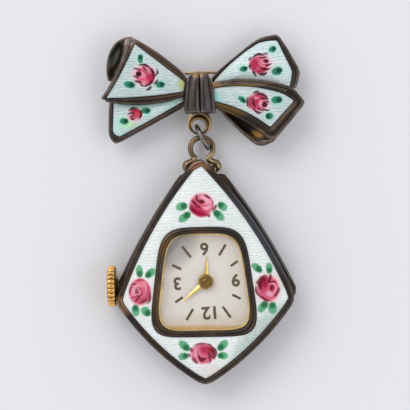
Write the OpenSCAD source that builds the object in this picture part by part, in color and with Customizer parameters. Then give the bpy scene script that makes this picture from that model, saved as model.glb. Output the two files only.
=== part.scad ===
// A kite shaped pendant watch that hangs from an enamelled ribbon bow pin.
// It lies face up: the flat case back and the pin rest on z = 0, the faces look up,
// and the bow lies towards +Y. The origin is under the axis of the hands.

/* [Watch front] */
// Middle to the left corner of the enamel field
front_half_w = 12.9; // [12.6:0.1:13.2]
// Middle to the right corner of the enamel field, which was stamped a little wider
front_right_w = 13.35; // [12.9:0.05:13.5]
// Height of the side corners on the long axis
front_corner_y = -2.75; // [-3.2:0.05:-2.4]
// How far the upper point lies to the side
front_top_x = -0.35; // [-0.5:0.05:0]
// Upper point of the enamel field, before rounding
front_top_y = 18.5; // [18.2:0.1:18.8]
// Lower point of the enamel field, before rounding
front_foot_y = -15.3; // [-15.6:0.1:-15]
// Swell of the two upper sides
upper_swell = 1.2; // [0.9:0.1:1.4]
// Swell of the two lower sides
lower_swell = 1.0; // [0.8:0.1:1.2]
// Width of the raised outer rim
rim_w = 0.95; // [0.8:0.05:1]
// How far the front lies to the side of the hands
front_x = -0.3; // [-0.4:0.1:-0.2]

/* [Window] */
// Middle to the upper edge of the window rim
window_top = 8.5; // [8.3:0.1:8.7]
// Middle to the lower edge of the window rim
window_foot = 8.6; // [8.4:0.1:8.8]
// Half width of the window rim
window_half_w = 7.57; // [7.4:0.01:7.7]
// Slope of the window's sides, in degrees
window_taper = 7.5; // [6:0.5:9]
// Width of the window rim
window_rim_w = 0.9; // [0.8:0.05:1]

/* [Case] */
// Middle to the left corner of the case
case_half_w = 14.35; // [14.2:0.05:14.5]
// Middle to the right corner of the case
case_right_w = 14.6; // [14.3:0.05:14.7]
// Height of the side corners on the long axis
case_corner_y = -1.5; // [-2:0.1:-1.2]
// Flat top of the case, where the bail is soldered
case_top_y = 17.1; // [16.9:0.1:17.3]
// Thickness of the case
case_h = 4.3; // [4.2:0.1:4.5]

/* [Crown] */
// Outer diameter of the crown
crown_d = 6.5; // [6:0.1:6.6]
// Width of the ridged band
crown_w = 1.3; // [1.1:0.1:1.5]
// Number of ridges
crown_ridges = 24; // [20:1:28]
// How far the crown pulls out
crown_travel = 0.8; // [0.5:0.1:0.8]

/* [Hands] */
// Length of the hour hand
hour_len = 4.2; // [3.8:0.1:4.4]
// Length of the minute hand
minute_len = 5.25; // [5:0.05:5.5]
// Diameter of the boss on the minute hand
boss_d = 2.4; // [2:0.1:2.6]
// Direction in which the hour hand points, in degrees from +X
hour_turn = 86.2; // [0:0.1:360]
// Direction in which the minute hand points, in degrees from +X
minute_turn = 219.5; // [0:0.1:360]

/* [Links] */
// Outer diameter of the jump ring
jump_d = 4.6; // [4.6:0.05:4.7]
// Wire of the jump ring
jump_wire = 0.7; // [0.65:0.05:0.75]
// Mean radius of the bail's ring
bail_r = 1.79; // [1.75:0.01:1.85]
// Wire of the bail
bail_wire = 0.76; // [0.7:0.02:0.8]
// Outer radius of the hanger's eye
eye_r = 1.95; // [1.9:0.05:2]
// Radius of the hole in the eye
eye_hole_r = 1.05; // [1:0.05:1.1]

/* [Bow] */
// Thickness of the stamped ribbon plates
plate_t = 0.9; // [0.8:0.05:1]
// Depth of the enamel recesses
recess = 0.4; // [0.35:0.05:0.45]
// Swell of each panel at its middle
panel_dome = 0.45; // [0.3:0.05:0.5]
// Radius of the rolled edges of the ribbon
roll_r = 0.3; // [0.25:0.01:0.32]

/* [Hidden] */

// Small gap between two solids that are fused or pressed together on the real jewel
gap = 0.04;
// Radial play of a part that turns or slides
play = 0.05;
// Sides of round parts
round_sides = 64;

// Heights over the surface that the jewel lies on
movement_z = 1.4;
dial_z = case_h - 0.3;
frame_z = case_h + gap / 2;
face_edge_z = frame_z + 1.2;
face_window_z = frame_z + 1.75;
rim_z = face_edge_z + 0.2;
window_rim_z = face_window_z + 0.3;
crystal_z = 5.5;
crystal_edge_z = 6.1;
crystal_top_z = 6.95;
hour_z = 4.5;
minute_z = 4.8;
hand_t = 0.15;
stem_z = crown_d / 2 + 0.1;
hanger_z = 2.5;
hanger_t = 0.65;
bail_z = 2.0;

// Outline of the case behind the front
case_shoulder_x = 3.4;
case_foot_y = front_foot_y - 0.8;
case_upper_swell = 0.6;
case_lower_swell = 1.6;
// Sections of the case: how far each lies outside the widest outline, and its height
case_sections = [[-6.2, 0], [-3.4, 0.4], [-1.5, 1.0], [-0.4, 1.9], [0, 2.8], [-0.05, 3.6], [-0.3, case_h]];
// The dial and the movement reach this far past the window's rim
dial_reach = 0.25;

// Places on the long axis
stem_y = -0.4;
bail_x = -0.4;
bail_y = 20.95;
eye_x = -0.6;
eye_y = 25.07;
eye_hole_x = -0.72;
eye_hole_y = 24.47;
jump_x = -0.25;
jump_y = 22.76;
jump_turn = 26.2;
bail_seat_y = case_top_y - 0.25;
crown_seat_x = -13.8;
crown_face_x = -14.2;

// Sharpness of rounded corners: the higher, the sharper
kite_corners = 90;
window_corners = 5;

// Directions of the points of the outlines, with one on each corner of the front
side_turn = atan2(-front_corner_y, front_half_w);
upper_steps = 26;
lower_steps = 20;
upper_step = (90 + side_turn) / upper_steps;
lower_step = (90 - side_turn) / lower_steps;
turns = concat(
    [for (i = [0 : 2 * upper_steps - 1]) -side_turn + i * upper_step],
    [for (i = [0 : 2 * lower_steps - 1]) 180 + side_turn + i * lower_step]);

// Rounded corner between several reaches: about the least of them
function soft_least(reaches, corners) =
    let (weights = [for (r = reaches) pow(r, -corners)])
    pow(weights * [for (w = weights) 1], -1 / corners);

// Arc from p to q, anticlockwise round the middle, that swells outwards: its centre and radius
function swell_arc(p, q, swell) =
    let (along = q - p, span = norm(along), radius = (span * span / 4 + swell * swell) / (2 * swell),
        outward = [along[1], -along[0]] / span)
    [(p + q) / 2 - outward * (radius - swell), radius];

// Distance from the middle to a circle, or to a straight side, in direction a
function circle_reach(a, arc, grow) =
    let (c = arc[0], side = c[0] * cos(a) + c[1] * sin(a), radius = arc[1] + grow)
    side + sqrt(max(0, side * side - c * c + radius * radius));
function side_reach(a, facing, distance) =
    cos(a - facing) > 0.01 ? distance / cos(a - facing) : 1000;

// Sides of a kite between its right corner, the ends of its top, its left corner and its foot
function kite_arcs(right, top_right, top_left, left, foot, upper, lower) = [
    swell_arc(right, top_right, upper), swell_arc(top_left, left, upper),
    swell_arc(left, foot, lower), swell_arc(foot, right, lower)];

front_arcs = kite_arcs([front_right_w, front_corner_y], [front_top_x, front_top_y],
    [front_top_x, front_top_y], [-front_half_w, front_corner_y], [0, front_foot_y],
    upper_swell, lower_swell);
case_arcs = kite_arcs([case_right_w, case_corner_y], [case_shoulder_x, case_top_y],
    [-case_shoulder_x, case_top_y], [-case_half_w, case_corner_y], [0, case_foot_y],
    case_upper_swell, case_lower_swell);

function front_reach(a, grow) =
    soft_least([for (arc = front_arcs) circle_reach(a, arc, grow)], kite_corners);
function case_reach(a, grow) =
    soft_least(concat([for (arc = case_arcs) circle_reach(a, arc, grow)],
        [side_reach(a, 90, case_top_y + grow)]), kite_corners);
function window_reach(a, grow) =
    soft_least([side_reach(a, window_taper, window_half_w + grow),
        side_reach(a, 180 - window_taper, window_half_w + grow),
        side_reach(a, 90, window_top + grow), side_reach(a, 270, window_foot + grow)],
        window_corners);

function ring_at(reaches, z) =
    [for (i = [0 : len(turns) - 1])
        [front_x + reaches[i] * cos(turns[i]), reaches[i] * sin(turns[i]), z]];
function front_ring(grow, z) = ring_at([for (a = turns) front_reach(a, grow)], z);
function case_ring(grow, z) = ring_at([for (a = turns) case_reach(a, grow)], z);
function window_ring(grow, z) = ring_at([for (a = turns) window_reach(a, grow)], z);
// Ring on the way from the front's outline, at share 0, to the window's, at share 1
function between_ring(grow, share, z) =
    ring_at([for (a = turns) part_way(front_reach(a, grow), window_reach(a, -grow), share)], z);

function joined(lists) = [for (list = lists) for (item = list) item];
// Triangles between neighbouring rings of n points, each ring outside or above the last
function wall_faces(n, first, next) =
    joined([for (i = [0 : n - 1])
        let (a = first * n + i, b = first * n + (i + 1) % n, c = next * n + i, d = next * n + (i + 1) % n)
        [[a, c, d], [a, d, b]]]);

// Solid through rings from its underside to its top, closed by a middle point at each end
module loft(rings, under, top) {
    n = len(rings[0]);
    count = len(rings);
    polyhedron(
        points = concat(joined(rings), [under, top]),
        faces = concat(
            joined([for (k = [0 : count - 2]) wall_faces(n, k, k + 1)]),
            [for (i = [0 : n - 1]) [count * n, i, (i + 1) % n]],
            [for (i = [0 : n - 1]) [count * n + 1, (count - 1) * n + (i + 1) % n, (count - 1) * n + i]]));
}

// Solid with an opening: the rings go round its section and close on the first
module hoop(rings) {
    count = len(rings);
    polyhedron(
        points = joined(rings),
        faces = joined([for (k = [0 : count - 1]) wall_faces(len(rings[0]), k, (k + 1) % count)]));
}

// Ribbon panels. Each row is a corner, anticlockwise:
// enamel x, enamel y, rim x, rim y, height of the rim, and the swell of the enamel's edge and
// of the rim's edge towards the next corner, outwards if positive
left_loop = [
    [-10.40, 37.50, -11.25, 38.75, 5.45, -0.22, -0.45],
    [-15.15, 29.10, -15.90, 28.90, 5.25, 0.25, 1.00],
    [-2.85, 29.90, -2.85, 29.10, 4.75, 0, 0],
    [-2.60, 31.30, -2.30, 32.20, 4.75, 0, 0.50]];
left_tail = [
    [-14.05, 28.50, -14.55, 28.80, 3.80, 0, 0],
    [-14.25, 23.90, -14.65, 23.75, 3.80, 0.15, 0.25],
    [-13.20, 23.05, -13.75, 21.85, 3.80, 0.07, 0],
    [-2.95, 28.45, -2.85, 27.55, 3.75, 0, 0],
    [-3.00, 29.15, -2.80, 29.50, 3.75, -0.40, -0.40]];
right_tail = [
    [1.70, 31.30, 1.45, 32.20, 3.75, 0, 0],
    [1.90, 30.70, 1.60, 30.50, 3.75, -1.00, -1.00],
    [13.65, 30.15, 14.55, 29.80, 3.80, 0.08, 0.10],
    [14.15, 32.80, 15.40, 32.80, 3.80, 0, 0.10],
    [11.90, 37.65, 12.05, 38.65, 3.80, 0.12, 0.10],
    [8.90, 37.30, 8.75, 37.95, 3.80, 0.40, 0.10]];
right_loop = [
    [1.65, 30.25, 1.60, 31.05, 4.75, 0, 0],
    [1.70, 28.30, 1.50, 27.25, 4.75, -0.60, -0.60],
    [10.60, 23.95, 10.65, 22.20, 5.25, 0, 0],
    [14.40, 28.00, 16.20, 27.70, 5.30, 0.10, 0],
    [12.20, 29.35, 14.50, 29.90, 5.20, 0.65, 0.95]];
// Edges of the ribbon that turn over and show their hollow side
left_curl = [
    [-11.70, 37.90, -11.20, 38.65, 4.60, 1.70, 2.10],
    [-14.00, 32.20, -14.80, 31.40, 4.40, 0, 0],
    [-12.20, 33.50, -11.80, 33.20, 4.30, 0, 0]];
right_curl = [
    [3.20, 26.90, 2.40, 27.20, 4.40, 0.20, 0.25],
    [8.30, 22.30, 8.30, 21.40, 4.50, 0.20, 0.35],
    [10.10, 22.60, 10.90, 22.00, 4.60, 0, 0],
    [6.40, 26.20, 6.60, 26.40, 4.30, 0, 0]];

edge_steps = 6;
roll_sides = 6;
roll_twist = 17;
roll_lift = 0.07;
enamel_x = 0;
rim_x = 2;
rim_height = 4;
enamel_swell = 5;
rim_swell = 6;

function part_way(p, q, t) = p + (q - p) * t;
// Points of a panel's outline: at is the first column of its corners, swell that of its edges
function outline(rows, at, swell) =
    joined([for (k = [0 : len(rows) - 1])
        let (row = rows[k], next = rows[(k + 1) % len(rows)],
            p = [row[at], row[at + 1]], q = [next[at], next[at + 1]],
            along = q - p, outward = [along[1], -along[0]] / norm(along))
        [for (i = [0 : edge_steps - 1])
            let (t = i / edge_steps, xy = part_way(p, q, t) + outward * row[swell] * 4 * t * (1 - t))
            [xy[0], xy[1], part_way(row[rim_height], next[rim_height], t)]]]);
function raised(points, dz) = [for (p = points) [p[0], p[1], p[2] + dz]];
function mixed(a, b, t) = [for (i = [0 : len(a) - 1]) part_way(a[i], b[i], t)];
function average(points) = [for (p = points) 1] * points / len(points);
// Outline drawn in towards the panel's middle, riding over its swell
function drawn_in(points, middle, size, dome) =
    [for (p = points) [part_way(middle[0], p[0], size), part_way(middle[1], p[1], size),
        part_way(middle[2], p[2], size) + dome * (1 - size * size)]];
function moved_in(points, middle, distance) =
    [for (p = points)
        let (way = [middle[0] - p[0], middle[1] - p[1]])
        [p[0] + way[0] * distance / norm(way), p[1] + way[1] * distance / norm(way), p[2]]];

// Stamped panel: a raised rim round a recess whose floor swells by dome
module panel(rows, dome, depth) {
    inner = outline(rows, enamel_x, enamel_swell);
    outer = outline(rows, rim_x, rim_swell);
    middle = average(inner);
    loft([
        raised(outer, -plate_t),
        raised(outer, -0.2),
        raised(mixed(outer, inner, 0.3), 0.05),
        raised(mixed(outer, inner, 0.75), 0.05),
        raised(inner, -0.1),
        raised(inner, -depth),
        raised(drawn_in(inner, middle, 0.6, dome), -depth)],
        middle - [0, 0, plate_t], middle + [0, 0, dome - depth]);
}

// Fired enamel that fills the recess of a panel
module panel_enamel(rows) {
    middle = average(outline(rows, enamel_x, enamel_swell));
    edge = moved_in(outline(rows, enamel_x, enamel_swell), middle, gap);
    floor_z = gap - recess;
    loft([
        raised(drawn_in(edge, middle, 0.6, panel_dome), floor_z),
        raised(edge, floor_z),
        raised(edge, -0.12),
        raised(drawn_in(edge, middle, 0.93, panel_dome), 0),
        raised(drawn_in(edge, middle, 0.6, panel_dome), 0.05)],
        middle + [0, 0, panel_dome + floor_z], middle + [0, 0, panel_dome + 0.05]);
}

// Rolled edge of the ribbon: a bead that runs along one or more edges of a panel
module rolled_edge(rows, corner, edges, inset) {
    line = mixed(outline(rows, rim_x, rim_swell), outline(rows, enamel_x, enamel_swell), inset);
    for (i = [0 : edges * edge_steps - 1]) {
        hull() {
            roll_point(line[(corner * edge_steps + i) % len(line)]);
            roll_point(line[(corner * edge_steps + i + 1) % len(line)]);
        }
    }
}

module roll_point(at) {
    translate(at + [0, 0, roll_lift]) rotate([0, 0, roll_twist]) sphere(roll_r, $fn = roll_sides);
}

// Heights of the bridge: over the hanger, and under the recesses of the tails and the loops
bridge_z = hanger_z + hanger_t + gap;
bridge_tails_z = 3.33;
bridge_loops_z = 4.3;

// Bar across the bow, from y and width at its left end to y and width at its right end
module bridge_bar(left_y, left_w, right_y, right_w, low, high) {
    hull() {
        translate([-3.6, left_y, low]) cube([0.2, left_w, high - low]);
        translate([2.2, right_y, low]) cube([0.2, right_w, high - low]);
    }
}

module bow() {
    color("dimgray") {
        panel(left_loop, panel_dome, recess);
        panel(left_tail, panel_dome, recess);
        panel(right_tail, panel_dome, recess);
        panel(right_loop, panel_dome, recess);
        panel(left_curl, 0, plate_t - 0.2);
        panel(right_curl, 0, plate_t - 0.2);
        rolled_edge(left_loop, 0, 1, 0.5);
        rolled_edge(left_curl, 0, 1, 0.4);
        rolled_edge(right_curl, 0, 2, 0.4);
        rolled_edge(right_loop, 4, 1, 0.4);
        // Bridge under the knot that joins the four ribbons below their enamel
        bridge_bar(29.4, 2.4, 28.4, 2.0, bridge_loops_z - 0.7, bridge_loops_z);
        bridge_bar(28.3, 1.0, 30.6, 1.0, bridge_z, bridge_tails_z);
        translate([-2.75, 28.7, bridge_z + 0.02]) cube([4.2, 2.6, bridge_loops_z - bridge_z - 0.1]);
    }
}

module enamel_left_loop() {
    color("mintcream") panel_enamel(left_loop);
}

module enamel_left_tail() {
    color("mintcream") panel_enamel(left_tail);
}

module enamel_right_tail() {
    color("mintcream") panel_enamel(right_tail);
}

module enamel_right_loop() {
    color("mintcream") panel_enamel(right_loop);
}

// Flutes of the knot. Each row is a level from the top down:
// y, height, radius, and the x of the left, middle and right flute
flute_levels = [
    [32.45, 5.45, 0.48, -1.10, -0.45, 0.20],
    [30.20, 5.75, 0.72, -1.60, -0.45, 0.75],
    [27.40, 5.55, 0.88, -2.00, -0.40, 1.25],
    [26.60, 5.15, 0.55, -2.10, -0.40, 1.35]];
knot_z = 4.9;
knot_back_t = 0.65;

module knot() {
    color("dimgray") {
        for (flute = [3 : 5]) {
            for (k = [0 : len(flute_levels) - 2]) {
                hull() {
                    flute_point(flute_levels[k], flute);
                    flute_point(flute_levels[k + 1], flute);
                }
            }
        }
        // Flat back that lies on the bow and fills the hollows under the flutes
        hull() {
            translate([-1.5, 32.3, knot_z]) cube([2.1, 0.3, knot_back_t]);
            translate([-2.8, 26.7, knot_z]) cube([4.8, 0.3, knot_back_t]);
        }
    }
}

module flute_point(level, flute) {
    translate([level[flute], level[0], level[1]]) sphere(level[2], $fn = 12);
}

module hanger() {
    color("darkgoldenrod") translate([0, 0, hanger_z]) linear_extrude(hanger_t) difference() {
        union() {
            translate([eye_x, eye_y]) circle(eye_r, $fn = round_sides);
            translate([eye_x - 1.4, eye_y]) square([2.8, 7.6]);
            translate([-2.75, 32.65]) square([4.95, 0.45]);
        }
        translate([eye_hole_x, eye_hole_y]) circle(eye_hole_r, $fn = round_sides);
    }
}

pin_half = 9.2;
pin_y = 30.1;
pin_stem_z = 0.8;
pin_post_w = 1.4;

module brooch_pin() {
    color("darkgoldenrod") {
        // Bar soldered behind the bow
        translate([-pin_half, pin_y - 1, hanger_z - 0.6]) cube([2 * pin_half, 2, 0.6]);
        // Hinge and catch, which rest on the surface
        for (x = [-pin_half, pin_half - pin_post_w]) {
            translate([x, pin_y - 0.8, 0.02]) cube([pin_post_w, 1.6, hanger_z - 0.3]);
        }
        translate([-pin_half + 0.5, pin_y, pin_stem_z]) rotate([0, 90, 0])
            cylinder(h = 2 * pin_half - 1, r = 0.4, $fn = round_sides);
    }
}

module jump_ring() {
    color("rosybrown") translate([jump_x, jump_y, jump_d / 2 + 0.02]) rotate([0, 0, jump_turn])
        rotate([90, 0, 90]) rotate_extrude($fn = round_sides)
            translate([(jump_d - jump_wire) / 2, 0]) circle(jump_wire / 2, $fn = 24);
}

bail_opening = 62;

module bail() {
    color("tan") translate([bail_x, bail_y, bail_z]) {
        rotate([0, 0, bail_opening / 2 - 90]) rotate_extrude(angle = 360 - bail_opening, $fn = round_sides)
            translate([bail_r, 0]) circle(bail_wire / 2, $fn = 24);
        for (side = [-1, 1]) {
            hull() {
                translate([side * 1.05, -1.75, 0]) sphere(0.5, $fn = 16);
                translate([side * 2.25, -2.75, 0]) sphere(0.82, $fn = 16);
            }
        }
        // Foot between the shoulders, soldered to the flat top of the case
        translate([-2.2, bail_seat_y - bail_y, -0.6]) cube([4.4, 1.6, 1.2]);
    }
}

module case() {
    color("dimgray") difference() {
        // Shell from its flat back up to its edge, and down into the pocket for the movement
        loft(concat(
            [for (section = case_sections) case_ring(section[0], section[1])],
            [for (z = [case_h, movement_z]) window_ring(dial_reach + play, z)]),
            [front_x, 0, 0], [front_x, 0, movement_z]);
        // Flat seats of the bail and of the crown
        translate([-case_right_w, bail_seat_y, -case_h]) cube([2 * case_right_w, case_h, 3 * case_h]);
        translate([crown_seat_x - case_h, -case_half_w, -case_h])
            cube([case_h, 2 * case_half_w, 3 * case_h]);
        // Bore of the winding stem
        translate([crown_seat_x - 1, stem_y, stem_z]) rotate([0, 90, 0])
            cylinder(h = -window_half_w - crown_seat_x + 1, r = stem_r + play, $fn = round_sides);
    }
}

function flat(points) = [for (p = points) [p[0], p[1]]];

// Tubes of the hands, one in the other, with the wheels under the dial that turn them
arbor_r = 0.36;
arbor_depth = 1.4;
tube_r = 0.7;
tube_depth = 0.9;
centre_wheel_r = 3.6;
hour_wheel_r = 2.8;
wheel_t = 0.35;
wheel_play = 0.15;
hub_r = boss_d / 2 - 0.1;
stem_r = 0.55;
stem_hold = 3.6;

module movement() {
    color("silver") difference() {
        translate([0, 0, movement_z + gap]) linear_extrude(dial_z - movement_z - 2 * gap)
            polygon(flat(window_ring(dial_reach, 0)));
        // Pocket of the wheels
        translate([0, 0, dial_z - arbor_depth - wheel_play])
            cylinder(h = case_h, r = centre_wheel_r + wheel_play, $fn = round_sides);
    }
}

module front_frame() {
    color("dimgray") hoop([
        front_ring(rim_w, frame_z),
        front_ring(rim_w, rim_z - 0.35),
        front_ring(rim_w * 0.7, rim_z),
        front_ring(rim_w * 0.25, rim_z),
        front_ring(0, face_edge_z),
        front_ring(0, face_edge_z - recess),
        window_ring(0, face_window_z - recess),
        window_ring(0, face_window_z),
        window_ring(-window_rim_w * 0.3, window_rim_z),
        window_ring(-window_rim_w * 0.7, window_rim_z),
        window_ring(-window_rim_w, window_rim_z - 0.25),
        window_ring(-window_rim_w, frame_z)]);
}

module enamel_face() {
    color("mintcream") hoop([
        front_ring(-gap, face_edge_z - recess + gap),
        front_ring(-gap, face_edge_z - 0.05),
        between_ring(-gap, 0.12, part_way(face_edge_z, face_window_z, 0.12) + 0.12),
        between_ring(-gap, 0.5, part_way(face_edge_z, face_window_z, 0.5) + 0.22),
        between_ring(-gap, 0.88, part_way(face_edge_z, face_window_z, 0.88) + 0.1),
        window_ring(gap, face_window_z - 0.05),
        window_ring(gap, face_window_z - recess + gap)]);
}

module dial_ring() {
    inner = -window_rim_w;
    color("goldenrod") hoop([
        window_ring(inner - gap, case_h + gap),
        window_ring(inner - gap, crystal_z - gap),
        window_ring(inner - 0.12, crystal_z - gap),
        window_ring(inner - 0.45, case_h + gap)]);
}

module dial() {
    color("linen") difference() {
        translate([0, 0, dial_z]) linear_extrude(case_h - dial_z)
            polygon(flat(window_ring(dial_reach, 0)));
        cylinder(h = case_h + 1, r = tube_r + play, $fn = round_sides);
    }
}

// Tapered hand, widest near its hub
module hand_blade(length, widest) {
    linear_extrude(hand_t)
        polygon([[0, -widest * 0.4], [hub_r * 1.15, -widest / 2], [length, 0],
            [hub_r * 1.15, widest / 2], [0, widest * 0.4]]);
}

module hour_hand() {
    color("gold") difference() {
        union() {
            translate([0, 0, hour_z]) {
                rotate([0, 0, hour_turn]) hand_blade(hour_len, 0.75);
                cylinder(h = hand_t, r = hub_r, $fn = round_sides);
            }
            translate([0, 0, dial_z - tube_depth]) {
                cylinder(h = hour_z - dial_z + tube_depth, r = tube_r, $fn = round_sides);
                cylinder(h = wheel_t, r = hour_wheel_r, $fn = round_sides);
            }
        }
        cylinder(h = 2 * case_h, r = arbor_r + play, $fn = round_sides);
    }
}

module minute_hand() {
    color("gold") {
        translate([0, 0, minute_z]) {
            rotate([0, 0, minute_turn]) hand_blade(minute_len, 0.72);
            cylinder(h = hand_t + 0.15, r = boss_d / 2, $fn = round_sides);
        }
        translate([0, 0, dial_z - arbor_depth]) {
            cylinder(h = minute_z - dial_z + arbor_depth + 0.4, r = arbor_r, $fn = round_sides);
            cylinder(h = wheel_t, r = centre_wheel_r, $fn = round_sides);
        }
    }
}

module crystal() {
    inner = -window_rim_w - gap;
    middle = [front_x, 0, crystal_top_z];
    edge = window_ring(inner, crystal_edge_z);
    dome = crystal_top_z - crystal_edge_z;
    color("white", 0.3) loft([
        window_ring(inner, crystal_z),
        edge,
        [for (p = edge) [part_way(front_x, p[0], 0.92), p[1] * 0.92, crystal_edge_z + dome * 0.35]],
        [for (p = edge) [part_way(front_x, p[0], 0.65), p[1] * 0.65, crystal_edge_z + dome * 0.8]]],
        [front_x, 0, crystal_z], middle);
}

// The stem reaches so far in that its end stays in the bore when the crown is pulled out
module winding_stem() {
    outer_x = crown_face_x - crown_w * 0.7;
    color("silver") translate([outer_x, stem_y, stem_z]) rotate([0, 90, 0])
        cylinder(h = crown_seat_x - outer_x + stem_hold + crown_travel, r = stem_r, $fn = round_sides);
}

// Depth of the grooves between the crown's ridges, and depth of its inner cone
groove = 0.16;
cone_h = 0.35;

// Ridged band with a coned inner side, a chamfered outer end and a blind bore for the stem
module crown() {
    steps = crown_ridges * 4;
    end_r = crown_d / 2 - 2 * groove;
    color("goldenrod") translate([crown_face_x, stem_y, stem_z]) rotate([0, -90, 0]) difference() {
        union() {
            linear_extrude(crown_w * 0.85)
                polygon([for (i = [0 : steps - 1])
                    let (radius = crown_d / 2 - (i % 4 < 2 ? 0 : groove))
                    radius * [cos(i * 360 / steps), sin(i * 360 / steps)]]);
            translate([0, 0, -cone_h])
                cylinder(h = cone_h + play, r1 = crown_d * 0.22, r2 = crown_d * 0.42, $fn = round_sides);
            translate([0, 0, crown_w * 0.8])
                cylinder(h = crown_w * 0.2, r1 = end_r, r2 = end_r - 2 * groove, $fn = round_sides);
        }
        translate([0, 0, -cone_h - 1])
            cylinder(h = 1 + cone_h + crown_w * 0.75, r = stem_r + play, $fn = round_sides);
    }
}

bow();
knot();
enamel_left_loop();
enamel_left_tail();
enamel_right_tail();
enamel_right_loop();
hanger();
brooch_pin();
jump_ring();
bail();
case();
movement();
front_frame();
enamel_face();
dial_ring();
dial();
hour_hand();
minute_hand();
crystal();
winding_stem();
crown();
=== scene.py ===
# %% [markdown]
# A chatelaine watch pin, finished piece by piece.
# The real jewel is two halves: an enamelled ribbon bow that pins on, and a kite shaped pendant
# watch that hangs from it by a jump ring. The solids come from the frame, in metres. Here they get
# their looks: raised metal rims, fired enamel over engine turned waves, painted roses, a printed
# dial under a low glass, and brass that has lost half of its gilding.

# %% Load the frame
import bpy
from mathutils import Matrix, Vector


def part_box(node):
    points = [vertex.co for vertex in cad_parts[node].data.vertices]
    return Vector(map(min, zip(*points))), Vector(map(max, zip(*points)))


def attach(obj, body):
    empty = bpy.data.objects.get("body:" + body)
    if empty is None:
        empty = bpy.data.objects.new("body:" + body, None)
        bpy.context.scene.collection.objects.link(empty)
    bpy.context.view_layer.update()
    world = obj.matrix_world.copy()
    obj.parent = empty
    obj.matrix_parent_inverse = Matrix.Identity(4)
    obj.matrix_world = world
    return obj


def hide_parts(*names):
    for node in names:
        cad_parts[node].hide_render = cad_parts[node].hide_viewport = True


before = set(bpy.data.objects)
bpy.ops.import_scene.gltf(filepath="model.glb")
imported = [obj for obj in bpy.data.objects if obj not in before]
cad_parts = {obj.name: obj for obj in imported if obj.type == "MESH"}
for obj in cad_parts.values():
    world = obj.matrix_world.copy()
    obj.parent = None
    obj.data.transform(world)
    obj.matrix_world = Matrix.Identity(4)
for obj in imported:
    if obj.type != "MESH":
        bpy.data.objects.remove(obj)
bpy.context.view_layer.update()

# %% Tools of the trade
import math

import bmesh
import bpy
from mathutils import Matrix, Vector

MM = 0.001
WELD = 1e-7
PIN = "pin_and_watch"
UP = Vector((0, 0, 1))


def mm(x, y, z=0.0):
    """A place given in millimetres, in metres."""
    return Vector((x, y, z)) * MM


def in_scene(name, data):
    """A new object in the scene."""
    thing = bpy.data.objects.new(name, data)
    bpy.context.scene.collection.objects.link(thing)
    return thing


# %% [markdown]
# The camera looks down on the jewel from almost straight above, as the photograph does. The long
# lens keeps the perspective flat. The picture is 410 pixels wide and shows 6.4 pixels to each
# millimetre at the height of the enamel, and the jewel is turned by a little over a degree in it.

# %% Camera
PIXELS = 410
PIXELS_PER_MM = 6.4
view_centre = mm(0.17, 11.97, 6.0)
view_direction = Vector((0.05, -0.03, 1.0)).normalized()
picture_tilt = 0.0209
camera_distance = 0.55

picture_right = Vector((1, -picture_tilt, 0))
picture_right = (picture_right - view_direction * picture_right.dot(view_direction)).normalized()
picture_up = view_direction.cross(picture_right)
camera_data = bpy.data.cameras.new("camera")
camera_data.sensor_width = 36
camera_data.lens = camera_data.sensor_width * camera_distance / (PIXELS / PIXELS_PER_MM * MM)
camera_data.clip_start = 0.01
camera = in_scene("camera", camera_data)
camera_place = Matrix.Translation(view_centre + view_direction * camera_distance)
camera_turn = Matrix((picture_right, picture_up, view_direction)).transposed().to_4x4()
camera.matrix_world = camera_place @ camera_turn
bpy.context.scene.camera = camera
print("lens: %.0f mm" % camera_data.lens)

# %% [markdown]
# A finish is a small network of nodes. Written out one by one, even a little arithmetic on masks
# would fill pages, so a class wraps a socket: an expression such as `1 - mask * 0.5` then adds its
# Math nodes by itself, and reads like the formula that it is.

# %% Arithmetic on sockets
class Level:
    """A number that varies over a surface."""

    def __init__(self, tree, socket):
        self.tree = tree
        self.socket = socket

    def math(self, operation, *others, clamp=False):
        node = self.tree.nodes.new("ShaderNodeMath")
        node.operation = operation
        node.use_clamp = clamp
        for slot, value in zip(node.inputs, (self,) + others):
            feed(self.tree, slot, value)
        return Level(self.tree, node.outputs[0])

    def __add__(self, other):
        return self.math("ADD", other)

    def __sub__(self, other):
        return self.math("SUBTRACT", other)

    def __rsub__(self, other):
        return self.math("MULTIPLY_ADD", -1.0, other)

    def __mul__(self, other):
        return self.math("MULTIPLY", other)

    def __pow__(self, other):
        return self.math("POWER", other)

    __radd__ = __add__
    __rmul__ = __mul__

    def sine(self):
        return self.math("SINE")

    def clamped(self):
        return self.math("ADD", 0.0, clamp=True)

    def ramp(self, low, high):
        """0 at low, 1 at high, whichever is larger."""
        slope = 1.0 / (high - low)
        return self.math("MULTIPLY_ADD", slope, -low * slope, clamp=True)


def feed(tree, slot, value):
    """Put a number, a colour or the end of a link into a socket."""
    if isinstance(value, Level):
        tree.links.new(value.socket, slot)
    elif hasattr(slot.default_value, "__len__") and len(slot.default_value) == 4:
        slot.default_value = (*value, 1.0) if len(value) == 3 else value
    else:
        slot.default_value = value


def paint(red, green, blue):
    """A colour in the 0 to 255 of a paint chart, as the linear light that shaders work in."""
    return tuple((c / 255 / 12.92) if c < 10.3 else ((c / 255 + 0.055) / 1.055) ** 2.4
                 for c in (red, green, blue))


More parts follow.
